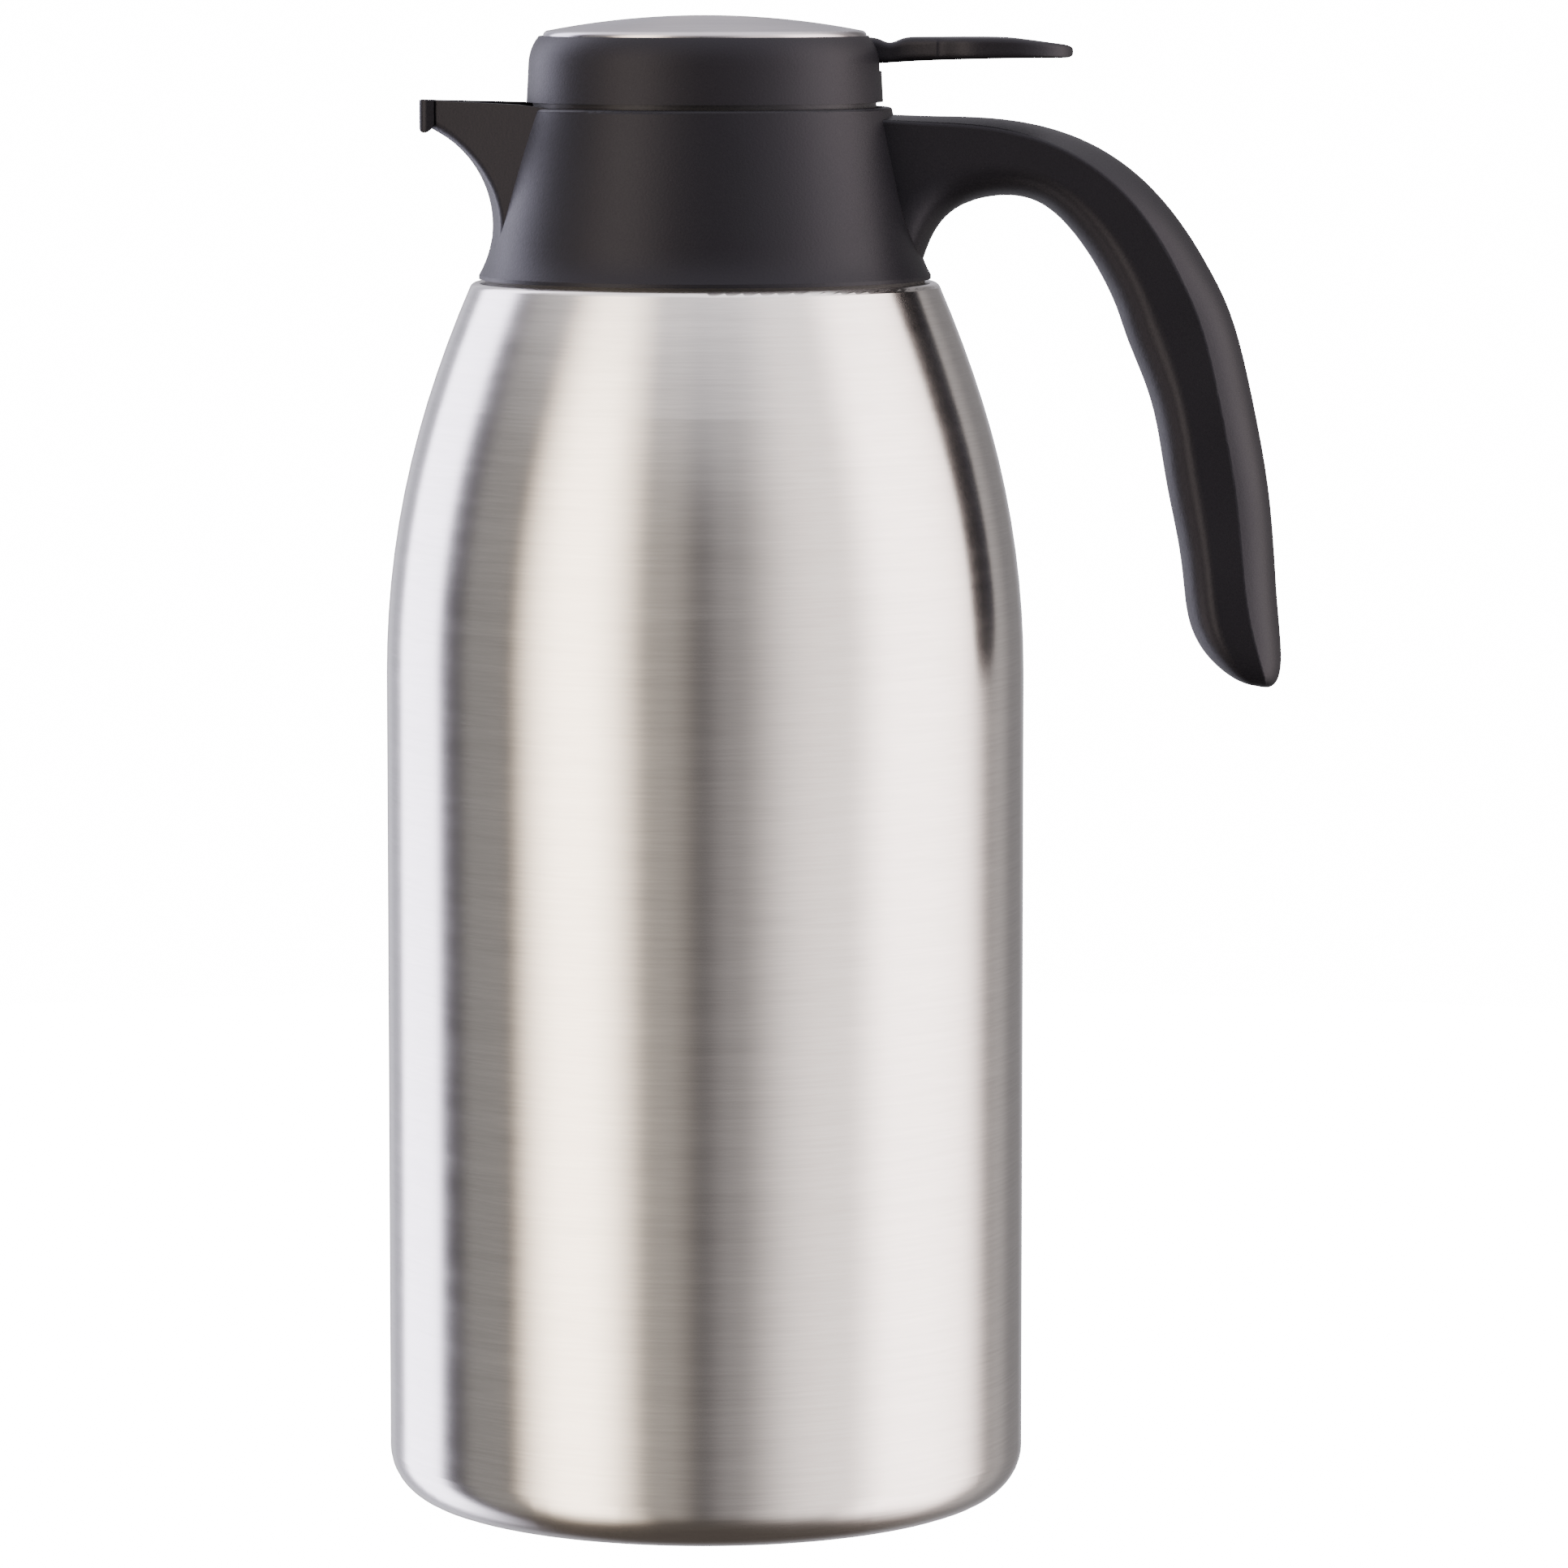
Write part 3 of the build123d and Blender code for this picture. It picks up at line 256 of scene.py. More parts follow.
class ShaderGroups:
    """Builds each shared shader group once and places it in materials.

    The names that end in height, shade and gloss are the parts' shares in what a group puts out.
    """

    fine_lines: ClassVar[Noise] = Noise(detail=4.0, rough=0.66)
    fine_height: ClassVar[float] = 0.7
    fine_shade: ClassVar[float] = 1.1
    wide_lines: ClassVar[Noise] = Noise()
    widening: ClassVar[tuple[float, float, float]] = (0.5, 0.5, 0.16)
    wide_height: ClassVar[float] = 0.3
    wide_shade: ClassVar[float] = 0.35
    wide_gloss: ClassVar[float] = 0.7
    steel_cloud: ClassVar[Noise] = Noise(scale=22.0)
    cloud_gloss: ClassVar[float] = 0.5
    pits: ClassVar[Noise] = Noise(rough=0.55)
    pit_height: ClassVar[float] = 0.65
    pit_gloss: ClassVar[float] = 0.5
    cell_scale: ClassVar[float] = 0.8
    cell_height: ClassVar[float] = 0.35
    plastic_cloud: ClassVar[Noise] = Noise(scale=38.0, detail=3.0)
    dusty_patches: ClassVar[Noise] = Noise(scale=160.0, detail=1.0)
    dust_from: ClassVar[float] = 0.56

    def __init__(self) -> None:
        """Makes the three groups."""
        self.groups = {
            GroupName.BRUSHING: self.brushing(),
            GroupName.GRAIN: self.grain(),
            GroupName.SPECKS: self.specks(),
        }

    def start(self, name: GroupName, inputs: dict[str, float],
              outputs: tuple[str, ...]) -> NodeSheet:
        """Starts a group with number sockets.

        Args:
            name: which group it is.
            inputs: default of each input, by name.
            outputs: names of the outputs.

        Returns:
            The group's sheet.
        """
        tree = bpy.data.node_groups.new(name.value, "ShaderNodeTree")
        for label, value in inputs.items():
            socket = tree.interface.new_socket(label, in_out="INPUT", socket_type="NodeSocketFloat")
            socket.default_value = value
        for label in outputs:
            tree.interface.new_socket(label, in_out="OUTPUT", socket_type="NodeSocketFloat")
        return NodeSheet(tree)

    def brushing(self) -> bpy.types.NodeTree:
        """Fine lines round the Z axis, short and long, as an abrasive belt leaves them.

        Returns:
            The group.
        """
        inputs = {"Lines": 2600.0, "Streaks": 45.0, "Face": 0.0}
        sheet = self.start(GroupName.BRUSHING, inputs, ("Height", "Shade", "Roughness"))
        given = sheet.add("NodeGroupInput")
        place = sheet.add("ShaderNodeTexCoord").outputs["Object"]
        parts = sheet.add("ShaderNodeSeparateXYZ")
        sheet.link(place, parts.inputs[0])
        x_squared = sheet.maths("MULTIPLY", parts.outputs["X"], parts.outputs["X"])
        y_squared = sheet.maths("MULTIPLY", parts.outputs["Y"], parts.outputs["Y"])
        across = sheet.maths("SQRT", sheet.maths("ADD", x_squared, y_squared))
        along = sheet.maths("MULTIPLY_ADD", across, given.outputs["Face"], parts.outputs["Z"])
        lines = sheet.add("ShaderNodeCombineXYZ")
        streaks = given.outputs["Streaks"]
        for axis in ("X", "Y"):
            sheet.feed(lines.inputs[axis], sheet.maths("MULTIPLY", parts.outputs[axis], streaks))
        sheet.feed(lines.inputs["Z"], sheet.maths("MULTIPLY", along, given.outputs["Lines"]))
        fine = sheet.noise(lines.outputs[0], self.fine_lines)
        widened = sheet.vector("MULTIPLY", lines.outputs[0], self.widening)
        wide = sheet.noise(widened, self.wide_lines)
        cloud = sheet.noise(place, self.steel_cloud)
        height = sheet.weighed(fine, self.fine_height, wide, self.wide_height)
        shade = sheet.swings(fine, self.fine_shade, wide, self.wide_shade)
        gloss = sheet.swings(wide, self.wide_gloss, cloud, self.cloud_gloss)
        result = sheet.add("NodeGroupOutput")
        sheet.link(height, result.inputs["Height"])
        sheet.link(shade, result.inputs["Shade"])
        sheet.link(gloss, result.inputs["Roughness"])
        lay_out(sheet.tree)
        return sheet.tree

    def grain(self) -> bpy.types.NodeTree:
        """Fine spark-eroded grain of a mould, as height and as a change in roughness.

        Returns:
            The group.
        """
        sheet = self.start(GroupName.GRAIN, {"Scale": 2600.0}, ("Height", "Roughness"))
        given = sheet.add("NodeGroupInput")
        place = sheet.add("ShaderNodeTexCoord").outputs["Object"]
        spread = sheet.scaled(place, given.outputs["Scale"])
        pits = sheet.noise(spread, self.pits)
        cells = sheet.add("ShaderNodeTexVoronoi", feature="SMOOTH_F1")
        sheet.link(spread, cells.inputs["Vector"])
        cells.inputs["Scale"].default_value = self.cell_scale
        height = sheet.weighed(pits, self.pit_height, cells.outputs["Distance"], self.cell_height)
        cloud = sheet.noise(place, self.plastic_cloud)
        gloss = sheet.swings(pits, self.pit_gloss, cloud, self.cloud_gloss)
        result = sheet.add("NodeGroupOutput")
        sheet.link(height, result.inputs["Height"])
        sheet.link(gloss, result.inputs["Roughness"])
        lay_out(sheet.tree)
        return sheet.tree

    def specks(self) -> bpy.types.NodeTree:
        """Scattered lighter specks of dust, as a mask.

        Returns:
            The group.
        """
        sheet = self.start(GroupName.SPECKS, {"Scale": 420.0, "Amount": 0.06}, ("Mask",))
        given = sheet.add("NodeGroupInput")
        place = sheet.add("ShaderNodeTexCoord").outputs["Object"]
        cells = sheet.add("ShaderNodeTexVoronoi", feature="F1")
        sheet.link(place, cells.inputs["Vector"])
        sheet.link(given.outputs["Scale"], cells.inputs["Scale"])
        dot = sheet.maths("LESS_THAN", cells.outputs["Distance"], given.outputs["Amount"])
        patches = sheet.noise(place, self.dusty_patches)
        pick = sheet.maths("GREATER_THAN", patches, self.dust_from)
        result = sheet.add("NodeGroupOutput")
        sheet.link(sheet.maths("MULTIPLY", dot, pick), result.inputs["Mask"])
        lay_out(sheet.tree)
        return sheet.tree

    def place(self, sheet: NodeSheet, name: GroupName, **values: float) -> bpy.types.Node:
        """Places a group in a material.

        Args:
            sheet: the material's sheet.
            name: which group.
            values: its inputs, by name.

        Returns:
            The group's node.
        """
        node = sheet.add("ShaderNodeGroup", node_tree=self.groups[name])
        for label, value in values.items():
            node.inputs[label].default_value = value
        return node


@dataclass(frozen=True)
class Finish:
    """What every finish has: a name, a colour and a roughness, and how far its pattern shows.

    The two changes are shares, and the depth is in millimetres.
    """

    name: str
    colour: Colour
    roughness: float
    shade_change: float = 0.16
    gloss_change: float = 0.12
    depth_mm: float = 0.006

    def material(self, groups: ShaderGroups) -> bpy.types.Material:
        """Makes the material.

        Args:
            groups: the shared shader groups.

        Returns:
            The material.
        """
        made = bpy.data.materials.new(self.name)
        made.use_nodes = True
        sheet = NodeSheet(made.node_tree)
        self.dress(sheet, made.node_tree.nodes["Principled BSDF"], groups)
        lay_out(made.node_tree)
        return made

    def dress(self, sheet: NodeSheet, shader: bpy.types.Node, groups: ShaderGroups) -> None:
        """Sets the shader and the nodes that feed it; each kind of finish has its own."""
        raise NotImplementedError

    def pattern(self, sheet: NodeSheet, shader: bpy.types.Node, shade: Socket, gloss: Socket,
                height: Socket) -> None:
        """Lets the colour, the roughness and the surface follow a pattern.

        Args:
            sheet: the material's sheet.
            shader: its Principled BSDF.
            shade: socket from about -1 to 1 that makes the colour darker and lighter.
            gloss: socket from about -1 to 1 that makes the surface smoother and rougher.
            height: socket from 0 to 1 that raises the surface.
        """
        tint = sheet.maths("MULTIPLY_ADD", shade, self.shade_change, 1.0)
        sheet.link(sheet.scaled(self.colour, tint), shader.inputs["Base Color"])
        rough = sheet.maths("MULTIPLY_ADD", gloss, self.gloss_change, self.roughness)
        sheet.link(rough, shader.inputs["Roughness"])
        bump = sheet.add("ShaderNodeBump")
        bump.inputs["Strength"].default_value = 1.0
        bump.inputs["Distance"].default_value = self.depth_mm * MM
        sheet.link(height, bump.inputs["Height"])
        sheet.link(bump.outputs["Normal"], shader.inputs["Normal"])

    def grained(self, sheet: NodeSheet, shader: bpy.types.Node, grain: bpy.types.Node) -> None:
        """Lets colour, roughness and surface all follow the moulded grain."""
        rough = grain.outputs["Roughness"]
        self.pattern(sheet, shader, rough, rough, grain.outputs["Height"])


@dataclass(frozen=True)
class BrushedSteel(Finish):
    """Stainless steel brushed round the Z axis; face is 1 where the lines lie on a flat face."""

    gloss_change: float = 0.04
    lines: float = 1700.0
    streaks: float = 55.0
    face: float = 0.0
    stretch: float = 0.8
    stretch_turn: float = 0.25

    def dress(self, sheet: NodeSheet, shader: bpy.types.Node, groups: ShaderGroups) -> None:
        """Metal whose highlights stretch across the brushed lines."""
        shader.inputs["Metallic"].default_value = 1.0
        shader.inputs["Anisotropic"].default_value = self.stretch
        shader.inputs["Anisotropic Rotation"].default_value = self.stretch_turn
        round_z = sheet.add("ShaderNodeTangent", direction_type="RADIAL", axis="Z")
        sheet.link(round_z.outputs[0], shader.inputs["Tangent"])
        values = {"Lines": self.lines, "Streaks": self.streaks, "Face": self.face}
        lines = groups.place(sheet, GroupName.BRUSHING, **values)
        shade, gloss = lines.outputs["Shade"], lines.outputs["Roughness"]
        self.pattern(sheet, shader, shade, gloss, lines.outputs["Height"])


@dataclass(frozen=True)
class MouldedPlastic(Finish):
    """Black plastic with the fine grain of its mould."""

    depth_mm: float = 0.035
    grain: float = 2400.0
    dust: float = 0.05
    dust_lift: float = 6.0
    mirror: float = 0.18
    mirror_tint: tuple[float, float, float, float] = (0.84, 0.86, 1.0, 1.0)

    def dress(self, sheet: NodeSheet, shader: bpy.types.Node, groups: ShaderGroups) -> None:
        """Satin plastic with grain, a little dust and cloudy gloss."""
        grain = groups.place(sheet, GroupName.GRAIN, Scale=self.grain)
        specks = groups.place(sheet, GroupName.SPECKS, Amount=self.dust)
        gloss = grain.outputs["Roughness"]
        shade = sheet.maths("MULTIPLY_ADD", specks.outputs["Mask"], self.dust_lift, gloss)
        self.pattern(sheet, shader, shade, gloss, grain.outputs["Height"])
        shader.inputs["Specular IOR Level"].default_value = self.mirror
        shader.inputs["Specular Tint"].default_value = self.mirror_tint


@dataclass(frozen=True)
class SoftRubber(Finish):
    """Silicone rubber, matt with a faint sheen."""

    shade_change: float = 0.12
    gloss_change: float = 0.1
    depth_mm: float = 0.01
    grain: float = 1500.0
    sheen: float = 0.15

    def dress(self, sheet: NodeSheet, shader: bpy.types.Node, groups: ShaderGroups) -> None:
        """Matt, slightly cloudy rubber."""
        self.grained(sheet, shader, groups.place(sheet, GroupName.GRAIN, Scale=self.grain))
        shader.inputs["Sheen Weight"].default_value = self.sheen


@dataclass(frozen=True)
class DullMetal(Finish):
    """Metal with no brushing: wire, screws, braze and the pressed getter."""

    shade_change: float = 0.15
    metallic: float = 1.0
    grain: float = 900.0

    def dress(self, sheet: NodeSheet, shader: bpy.types.Node, groups: ShaderGroups) -> None:
        """Metal with a cloudy, slightly pitted surface."""
        shader.inputs["Metallic"].default_value = self.metallic
        self.grained(sheet, shader, groups.place(sheet, GroupName.GRAIN, Scale=self.grain))


STEEL = (0.72, 0.695, 0.672)
DISC = (0.46, 0.44, 0.46)
BLACK = (0.0058, 0.0055, 0.0074)
LID_BLACK = (0.0068, 0.0064, 0.0084)

BODY_STEEL = BrushedSteel("brushed body steel", STEEL, 0.21)
DISC_STEEL = BrushedSteel("spun disc steel", DISC, 0.24, lines=3200.0, streaks=70.0, face=1.0)
BASE_STEEL = BrushedSteel("pressed base steel", STEEL, 0.3, face=1.0, stretch=0.5)
INNER_STEEL = BrushedSteel("drawn inner steel", STEEL, 0.2, depth_mm=0.002, stretch=0.4)
BODY_PLASTIC = MouldedPlastic("grained black plastic", BLACK, 0.44)
LID_PLASTIC = MouldedPlastic("lid black plastic", LID_BLACK, 0.46, grain=2900.0)
STOPPER_PLASTIC = MouldedPlastic("smooth stopper plastic", (0.022, 0.022, 0.024), 0.34,
                                 depth_mm=0.006, dust=0.0)
SILICONE = SoftRubber("grey silicone", (0.36, 0.36, 0.35), 0.55)
DARK_SILICONE = SoftRubber("dark joint silicone", (0.018, 0.018, 0.019), 0.6)
WIRE_STEEL = DullMetal("polished wire steel", (0.55, 0.54, 0.53), 0.2)
BRAZE = DullMetal("nickel braze", (0.45, 0.42, 0.36), 0.42)
GETTER = DullMetal("pressed getter", (0.13, 0.13, 0.14), 0.7, metallic=0.6)


class Wardrobe:
    """Makes each finish's material once."""

    def __init__(self) -> None:
        """Starts with the shared groups and no materials."""
        self.groups = ShaderGroups()
        self.made: dict[str, bpy.types.Material] = {}

    def get(self, finish: Finish) -> bpy.types.Material:
        """The material of a finish, made at its first use.

        Args:
            finish: which finish.

        Returns:
            Its material.
        """
        if finish.name not in self.made:
            self.made[finish.name] = finish.material(self.groups)
        return self.made[finish.name]

    def dress(self, mesh: bpy.types.Mesh, finish: Finish) -> None:
        """Gives a mesh one finish and no other material."""
        mesh.materials.clear()
        mesh.materials.append(self.get(finish))


class GeometryTree:
    """A Geometry Nodes tree with named inputs, and short ways to add its nodes."""

    def __init__(self, name: str, inputs: dict[str, float]) -> None:
        """Starts the tree.

        Args:
            name: the tree's name.
            inputs: default of each number input, by name; counts are whole numbers.
        """
        self.tree = bpy.data.node_groups.new(name, "GeometryNodeTree")
        face = self.tree.interface
        for label, value in inputs.items():
            kind = "NodeSocketInt" if isinstance(value, int) else "NodeSocketFloat"
            face.new_socket(label, in_out="INPUT", socket_type=kind).default_value = value
        face.new_socket("Material", in_out="INPUT", socket_type="NodeSocketMaterial")
        face.new_socket("Geometry", in_out="OUTPUT", socket_type="NodeSocketGeometry")
        self.sheet = NodeSheet(self.tree)
        self.given = self.sheet.add("NodeGroupInput").outputs

    def chain(self, kind: str, source: Socket,
              settings: dict[str, object] | None = None, **inputs: object) -> bpy.types.Node:
        """Adds a node behind a geometry socket.

        Args:
            kind: the node's type name.
            source: geometry that goes into its first input.
            settings: the node's own properties, by name.
            inputs: its other inputs, by name, each a socket or a value.

        Returns:
            The new node.
        """
        node = self.sheet.add(kind, **(settings or {}))
        self.sheet.link(source, node.inputs[0])
        for label, value in inputs.items():
            self.sheet.feed(node.inputs[label], value)
        return node

    def helix(self, share: object, turned: object, height: object) -> Socket:
        """Points of a line bent round Z.

        Args:
            share: socket that runs from 0 to 1 along the line.
            turned: angle at each point, in radians.
            height: height of each point.

        Returns:
            The bent curve, whose normals point away from Z.
        """
        sheet = self.sheet
        line = sheet.add("GeometryNodeCurvePrimitiveLine")
        path = self.chain("GeometryNodeResampleCurve", line.outputs[0], Count=self.given["Steps"])
        place = sheet.add("ShaderNodeCombineXYZ")
        radius = self.given["Radius"]
        for axis, wave in (("X", "COSINE"), ("Y", "SINE")):
            reach = sheet.maths("MULTIPLY", radius, sheet.maths(wave, turned))
            sheet.feed(place.inputs[axis], reach)
        sheet.feed(place.inputs["Z"], height)
        bent = self.chain("GeometryNodeSetPosition", path.outputs[0], Position=place.outputs[0])
        facing = self.chain("GeometryNodeSetCurveNormal", bent.outputs[0], {"mode": "Z_UP"})
        return facing.outputs[0]

    def close(self, geometry: Socket) -> bpy.types.NodeTree:
        """Ends the tree in Realize Instances and Set Material.

        Args:
            geometry: what the tree has made.

        Returns:
            The finished tree.
        """
        real = self.chain("GeometryNodeRealizeInstances", geometry).outputs[0]
        dressed = self.chain("GeometryNodeSetMaterial", real, Material=self.given["Material"])
        result = self.sheet.add("NodeGroupOutput")
        self.sheet.link(dressed.outputs[0], result.inputs[0])
        lay_out(self.tree)
        return self.tree


@dataclass
class TreePiece:
    """A piece that a Geometry Nodes tree makes, with the body that it rides on."""

    name: str
    body: str
    slot: str
    finish: Finish

    def tree(self) -> bpy.types.NodeTree:
        """The tree that makes the piece; each kind of piece has its own."""
        raise NotImplementedError

    def values(self) -> dict[str, float]:
        """The tree's inputs, by name, in metres and radians."""
        raise NotImplementedError

    def build(self, wardrobe: Wardrobe) -> bpy.types.Object:
        """Runs the tree and keeps its result as a plain mesh.

        Args:
            wardrobe: where the finish's material comes from.

        Returns:
            The piece, riding on its body.
        """
        tree = self.tree()
        piece = bpy.data.objects.new(self.name, bpy.data.meshes.new(self.name))
        bpy.context.scene.collection.objects.link(piece)
        former = piece.modifiers.new("form", "NODES")
        former.node_group = tree
        given = {**self.values(), "Material": wardrobe.get(self.finish)}
        for socket in tree.interface.items_tree:
            if socket.in_out == "INPUT":
                former[socket.identifier] = given[socket.name]
        graph = bpy.context.evaluated_depsgraph_get()
        piece.data = bpy.data.meshes.new_from_object(piece.evaluated_get(graph), depsgraph=graph)
        piece.modifiers.remove(former)
        self.clean(piece.data)
        wardrobe.dress(piece.data, self.finish)
        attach(piece, self.body)
        LOG.info("built %s with %d faces", self.name, len(piece.data.polygons))
        return piece

    def clean(self, mesh: bpy.types.Mesh) -> None:
        """Merges doubled points, turns the faces outwards and smooths them by angle.

        Args:
            mesh: what the tree has made.
        """
        form = bmesh.new()
        form.from_mesh(mesh)
        bmesh.ops.remove_doubles(form, verts=form.verts, dist=MERGE_MM * MM)
        bmesh.ops.recalc_face_normals(form, faces=form.faces)
        for face in form.faces:
            face.smooth = True
            face.material_index = 0
        for edge in form.edges:
            edge.smooth = edge.calc_face_angle(0.0) < SHARP_ANGLE
        form.to_mesh(mesh)
        form.free()


@dataclass
class ThreadRidges(TreePiece):
    """The ridges of a right-handed thread of three starts, one short ridge to a start.

    Sizes are in millimetres and degrees. A negative rise makes ridges that face the axis. The
    seat is how deep a ridge's root goes into the wall, and the ends run out over a share of the
    ridge's length.
    """

    radius: float
    rise: float
    base: float
    arc: float
    start: float = 10.0
    lead: float = 9.0
    root: float = 1.9
    crest: float = 0.8
    seat: float = 0.3
    run_out: float = 1 / 9
    run_out_bend: float = 0.3
    thinnest: float = 0.08
    starts: int = 3
    steps: int = 48

    def values(self) -> dict[str, float]:
        """The tree's inputs, by name, in metres and radians."""
        outwards = math.copysign(1.0, self.rise)
        return {
            "Radius": (self.radius - outwards * self.seat) * MM,
            "Rise": (self.rise + outwards * self.seat) * MM,
            "Root": self.root * MM, "Crest": self.crest * MM, "Lead": self.lead * MM,
            "Arc": math.radians(self.arc), "Start": math.radians(self.start),
            "Base": self.base * MM, "Starts": self.starts, "Steps": self.steps,
        }

    def tree(self) -> bpy.types.NodeTree:
        """One tapered ridge along a helix, repeated round Z.

        Returns:
            The finished tree.
        """
        made = GeometryTree("thread ridges", self.values())
        sheet, given = made.sheet, made.given
        share = sheet.add("GeometryNodeSplineParameter").outputs["Factor"]
        passed = sheet.maths("MULTIPLY", share, given["Arc"])
        turned = sheet.maths("ADD", passed, given["Start"])
        climb = sheet.maths("MULTIPLY", passed, sheet.maths("DIVIDE", given["Lead"], math.tau))
        line = made.helix(share, turned, sheet.maths("ADD", climb, given["Base"]))
        ridge = made.chain("GeometryNodeCurveToMesh", line, Scale=self.taper(sheet, share))
        sheet.link(self.section(made), ridge.inputs["Profile Curve"])
        ridge.inputs["Fill Caps"].default_value = True
        return made.close(self.repeated(made, ridge.outputs[0]))

    def taper(self, sheet: NodeSheet, share: object) -> Socket:
        """Runs the ridge out at both ends.

        Args:
            sheet: the tree's sheet.
            share: socket that runs from 0 to 1 along the ridge.

        Returns:
            Socket of the section's scale at each point.
        """
        to_end = sheet.maths("PINGPONG", share, 0.5)
        grown = sheet.maths("MULTIPLY", to_end, 1 / self.run_out)
        bent = sheet.maths("SMOOTH_MIN", grown, 1.0, self.run_out_bend)
        return sheet.maths("MAXIMUM", bent, self.thinnest)

    def section(self, made: GeometryTree) -> Socket:
        """The ridge's section: wide at the wall, narrow at the crest.

        Args:
            made: the ridge's tree.

        Returns:
            The closed curve of the section.
        """
        sheet, given = made.sheet, made.given
        shape = sheet.add("GeometryNodeCurvePrimitiveQuadrilateral", mode="POINTS")
        at_wall = ((0.0, "Root", -0.5), (0.0, "Root", 0.5))
        at_crest = ((1.0, "Crest", 0.5), (1.0, "Crest", -0.5))
        for number, (out, width, side) in enumerate(at_wall + at_crest, start=1):
            point = sheet.add("ShaderNodeCombineXYZ")
            sheet.feed(point.inputs["X"], sheet.maths("MULTIPLY", given["Rise"], out))
            sheet.feed(point.inputs["Y"], sheet.maths("MULTIPLY", given[width], side))
            sheet.link(point.outputs[0], shape.inputs[f"Point {number}"])
        return shape.outputs[0]

    def repeated(self, made: GeometryTree, ridge: Socket) -> Socket:
        """Sets one copy of the ridge at each start round Z.

        Args:
            made: the ridge's tree.
            ridge: the first ridge.

        Returns:
            The copies, still as instances.
        """
        sheet, given = made.sheet, made.given
        hub = sheet.add("GeometryNodeMeshCircle")
        sheet.feed(hub.inputs["Vertices"], given["Starts"])
        hub.inputs["Radius"].default_value = 0.0
        turn = sheet.add("ShaderNodeCombineXYZ")
        number = sheet.add("GeometryNodeInputIndex").outputs[0]
        step = sheet.maths("DIVIDE", math.tau, given["Starts"])
        sheet.feed(turn.inputs["Z"], sheet.maths("MULTIPLY", number, step))
        copies = made.chain("GeometryNodeInstanceOnPoints", hub.outputs[0],
                            Instance=ridge, Rotation=turn.outputs[0])
        return copies.outputs[0]


@dataclass
class ValveSpring(TreePiece):
    """The valve's wound spring, whose wire lies level for a moment at both ends.

    Sizes are in millimetres. Low and high are heights of the wire's centre line, and level is the
    share of the wire that lies flat at each end.
    """

    radius: float = 4.0
    wire: float = 0.4
    turns: float = 3.5
    low: float = 275.71
    high: float = 282.36
    level: float = 0.035
    steps: int = 168
    sides: int = 14

    def values(self) -> dict[str, float]:
        """The tree's inputs, by name, in metres and radians."""
        return {
            "Radius": self.radius * MM, "Wire": self.wire * MM, "Arc": math.tau * self.turns,
            "Low": self.low * MM, "High": self.high * MM, "Level": self.level,
            "Steps": self.steps, "Sides": self.sides,
        }

    def tree(self) -> bpy.types.NodeTree:
        """A round wire along a helix, with level ends.

        Returns:
            The finished tree.
        """
        made = GeometryTree("wound spring", self.values())
        sheet, given = made.sheet, made.given
        share = sheet.add("GeometryNodeSplineParameter").outputs["Factor"]
        climb = sheet.add("ShaderNodeMapRange", clamp=True)
        sheet.feed(climb.inputs["Value"], share)
        sheet.feed(climb.inputs["From Min"], given["Level"])
        sheet.feed(climb.inputs["From Max"], sheet.maths("SUBTRACT", 1.0, given["Level"]))
        sheet.feed(climb.inputs["To Min"], given["Low"])
        sheet.feed(climb.inputs["To Max"], given["High"])
        line = made.helix(share, sheet.maths("MULTIPLY", share, given["Arc"]), climb.outputs[0])
        round_wire = sheet.add("GeometryNodeCurvePrimitiveCircle")
        sheet.feed(round_wire.inputs["Resolution"], given["Sides"])
        sheet.feed(round_wire.inputs["Radius"], given["Wire"])
        wound = made.chain("GeometryNodeCurveToMesh", line)
        sheet.link(round_wire.outputs[0], wound.inputs["Profile Curve"])
        wound.inputs["Fill Caps"].default_value = True
        return made.close(wound.outputs[0])


@dataclass
class SubAssembly:
    """Some CAD nodes with their finishes, and the pieces that only the scene adds."""

    wardrobe: Wardrobe
    finishes: ClassVar[dict[str, Finish]] = {}

    def build(self) -> None:
        """Dresses the nodes and adds the scene's own pieces."""
        for name, finish in self.finishes.items():
            self.wardrobe.dress(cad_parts[name].data, finish)
            LOG.info("dressed %s", name)
        self.add_pieces()

    def add_pieces(self) -> None:
        """Adds nothing, unless the sub-assembly has pieces of its own."""


class Vessel(SubAssembly):
    """The double-walled steel vessel."""

    finishes: ClassVar[dict[str, Finish]] = {
        "outer_shell": BODY_STEEL,
        "vacuum_floor": INNER_STEEL,
        "vacuum_seal": BRAZE,
        "getter": GETTER,
        "base_cover": BASE_STEEL,
        "inner_neck": INNER_STEEL,
        "inner_shoulder": INNER_STEEL,
        "inner_band": INNER_STEEL,
        "inner_tube": INNER_STEEL,
        "inner_bottom": INNER_STEEL,
    }


@dataclass
class Neck(SubAssembly):
    """Collar, handle and the ring that the stopper screws into. Millimetres and degrees."""

    bore: float = 28.9
    ridge_rise: float = 1.0
    ridge_base: float = 250.8
    ridge_arc: float = 70.0
    finishes: ClassVar[dict[str, Finish]] = {
        "shoulder_gasket": DARK_SILICONE,
        "rim_gasket": SILICONE,
        "collar": BODY_PLASTIC,
        "handle": BODY_PLASTIC,
        "neck_ring": STOPPER_PLASTIC,
    }

    def add_pieces(self) -> None:
        """Adds the ring's thread."""
        thread = ThreadRidges("neck_thread", "carafe", "stopper_plastic", STOPPER_PLASTIC,
                              radius=self.bore, rise=-self.ridge_rise, base=self.ridge_base,
                              arc=self.ridge_arc)
        thread.build(self.wardrobe)


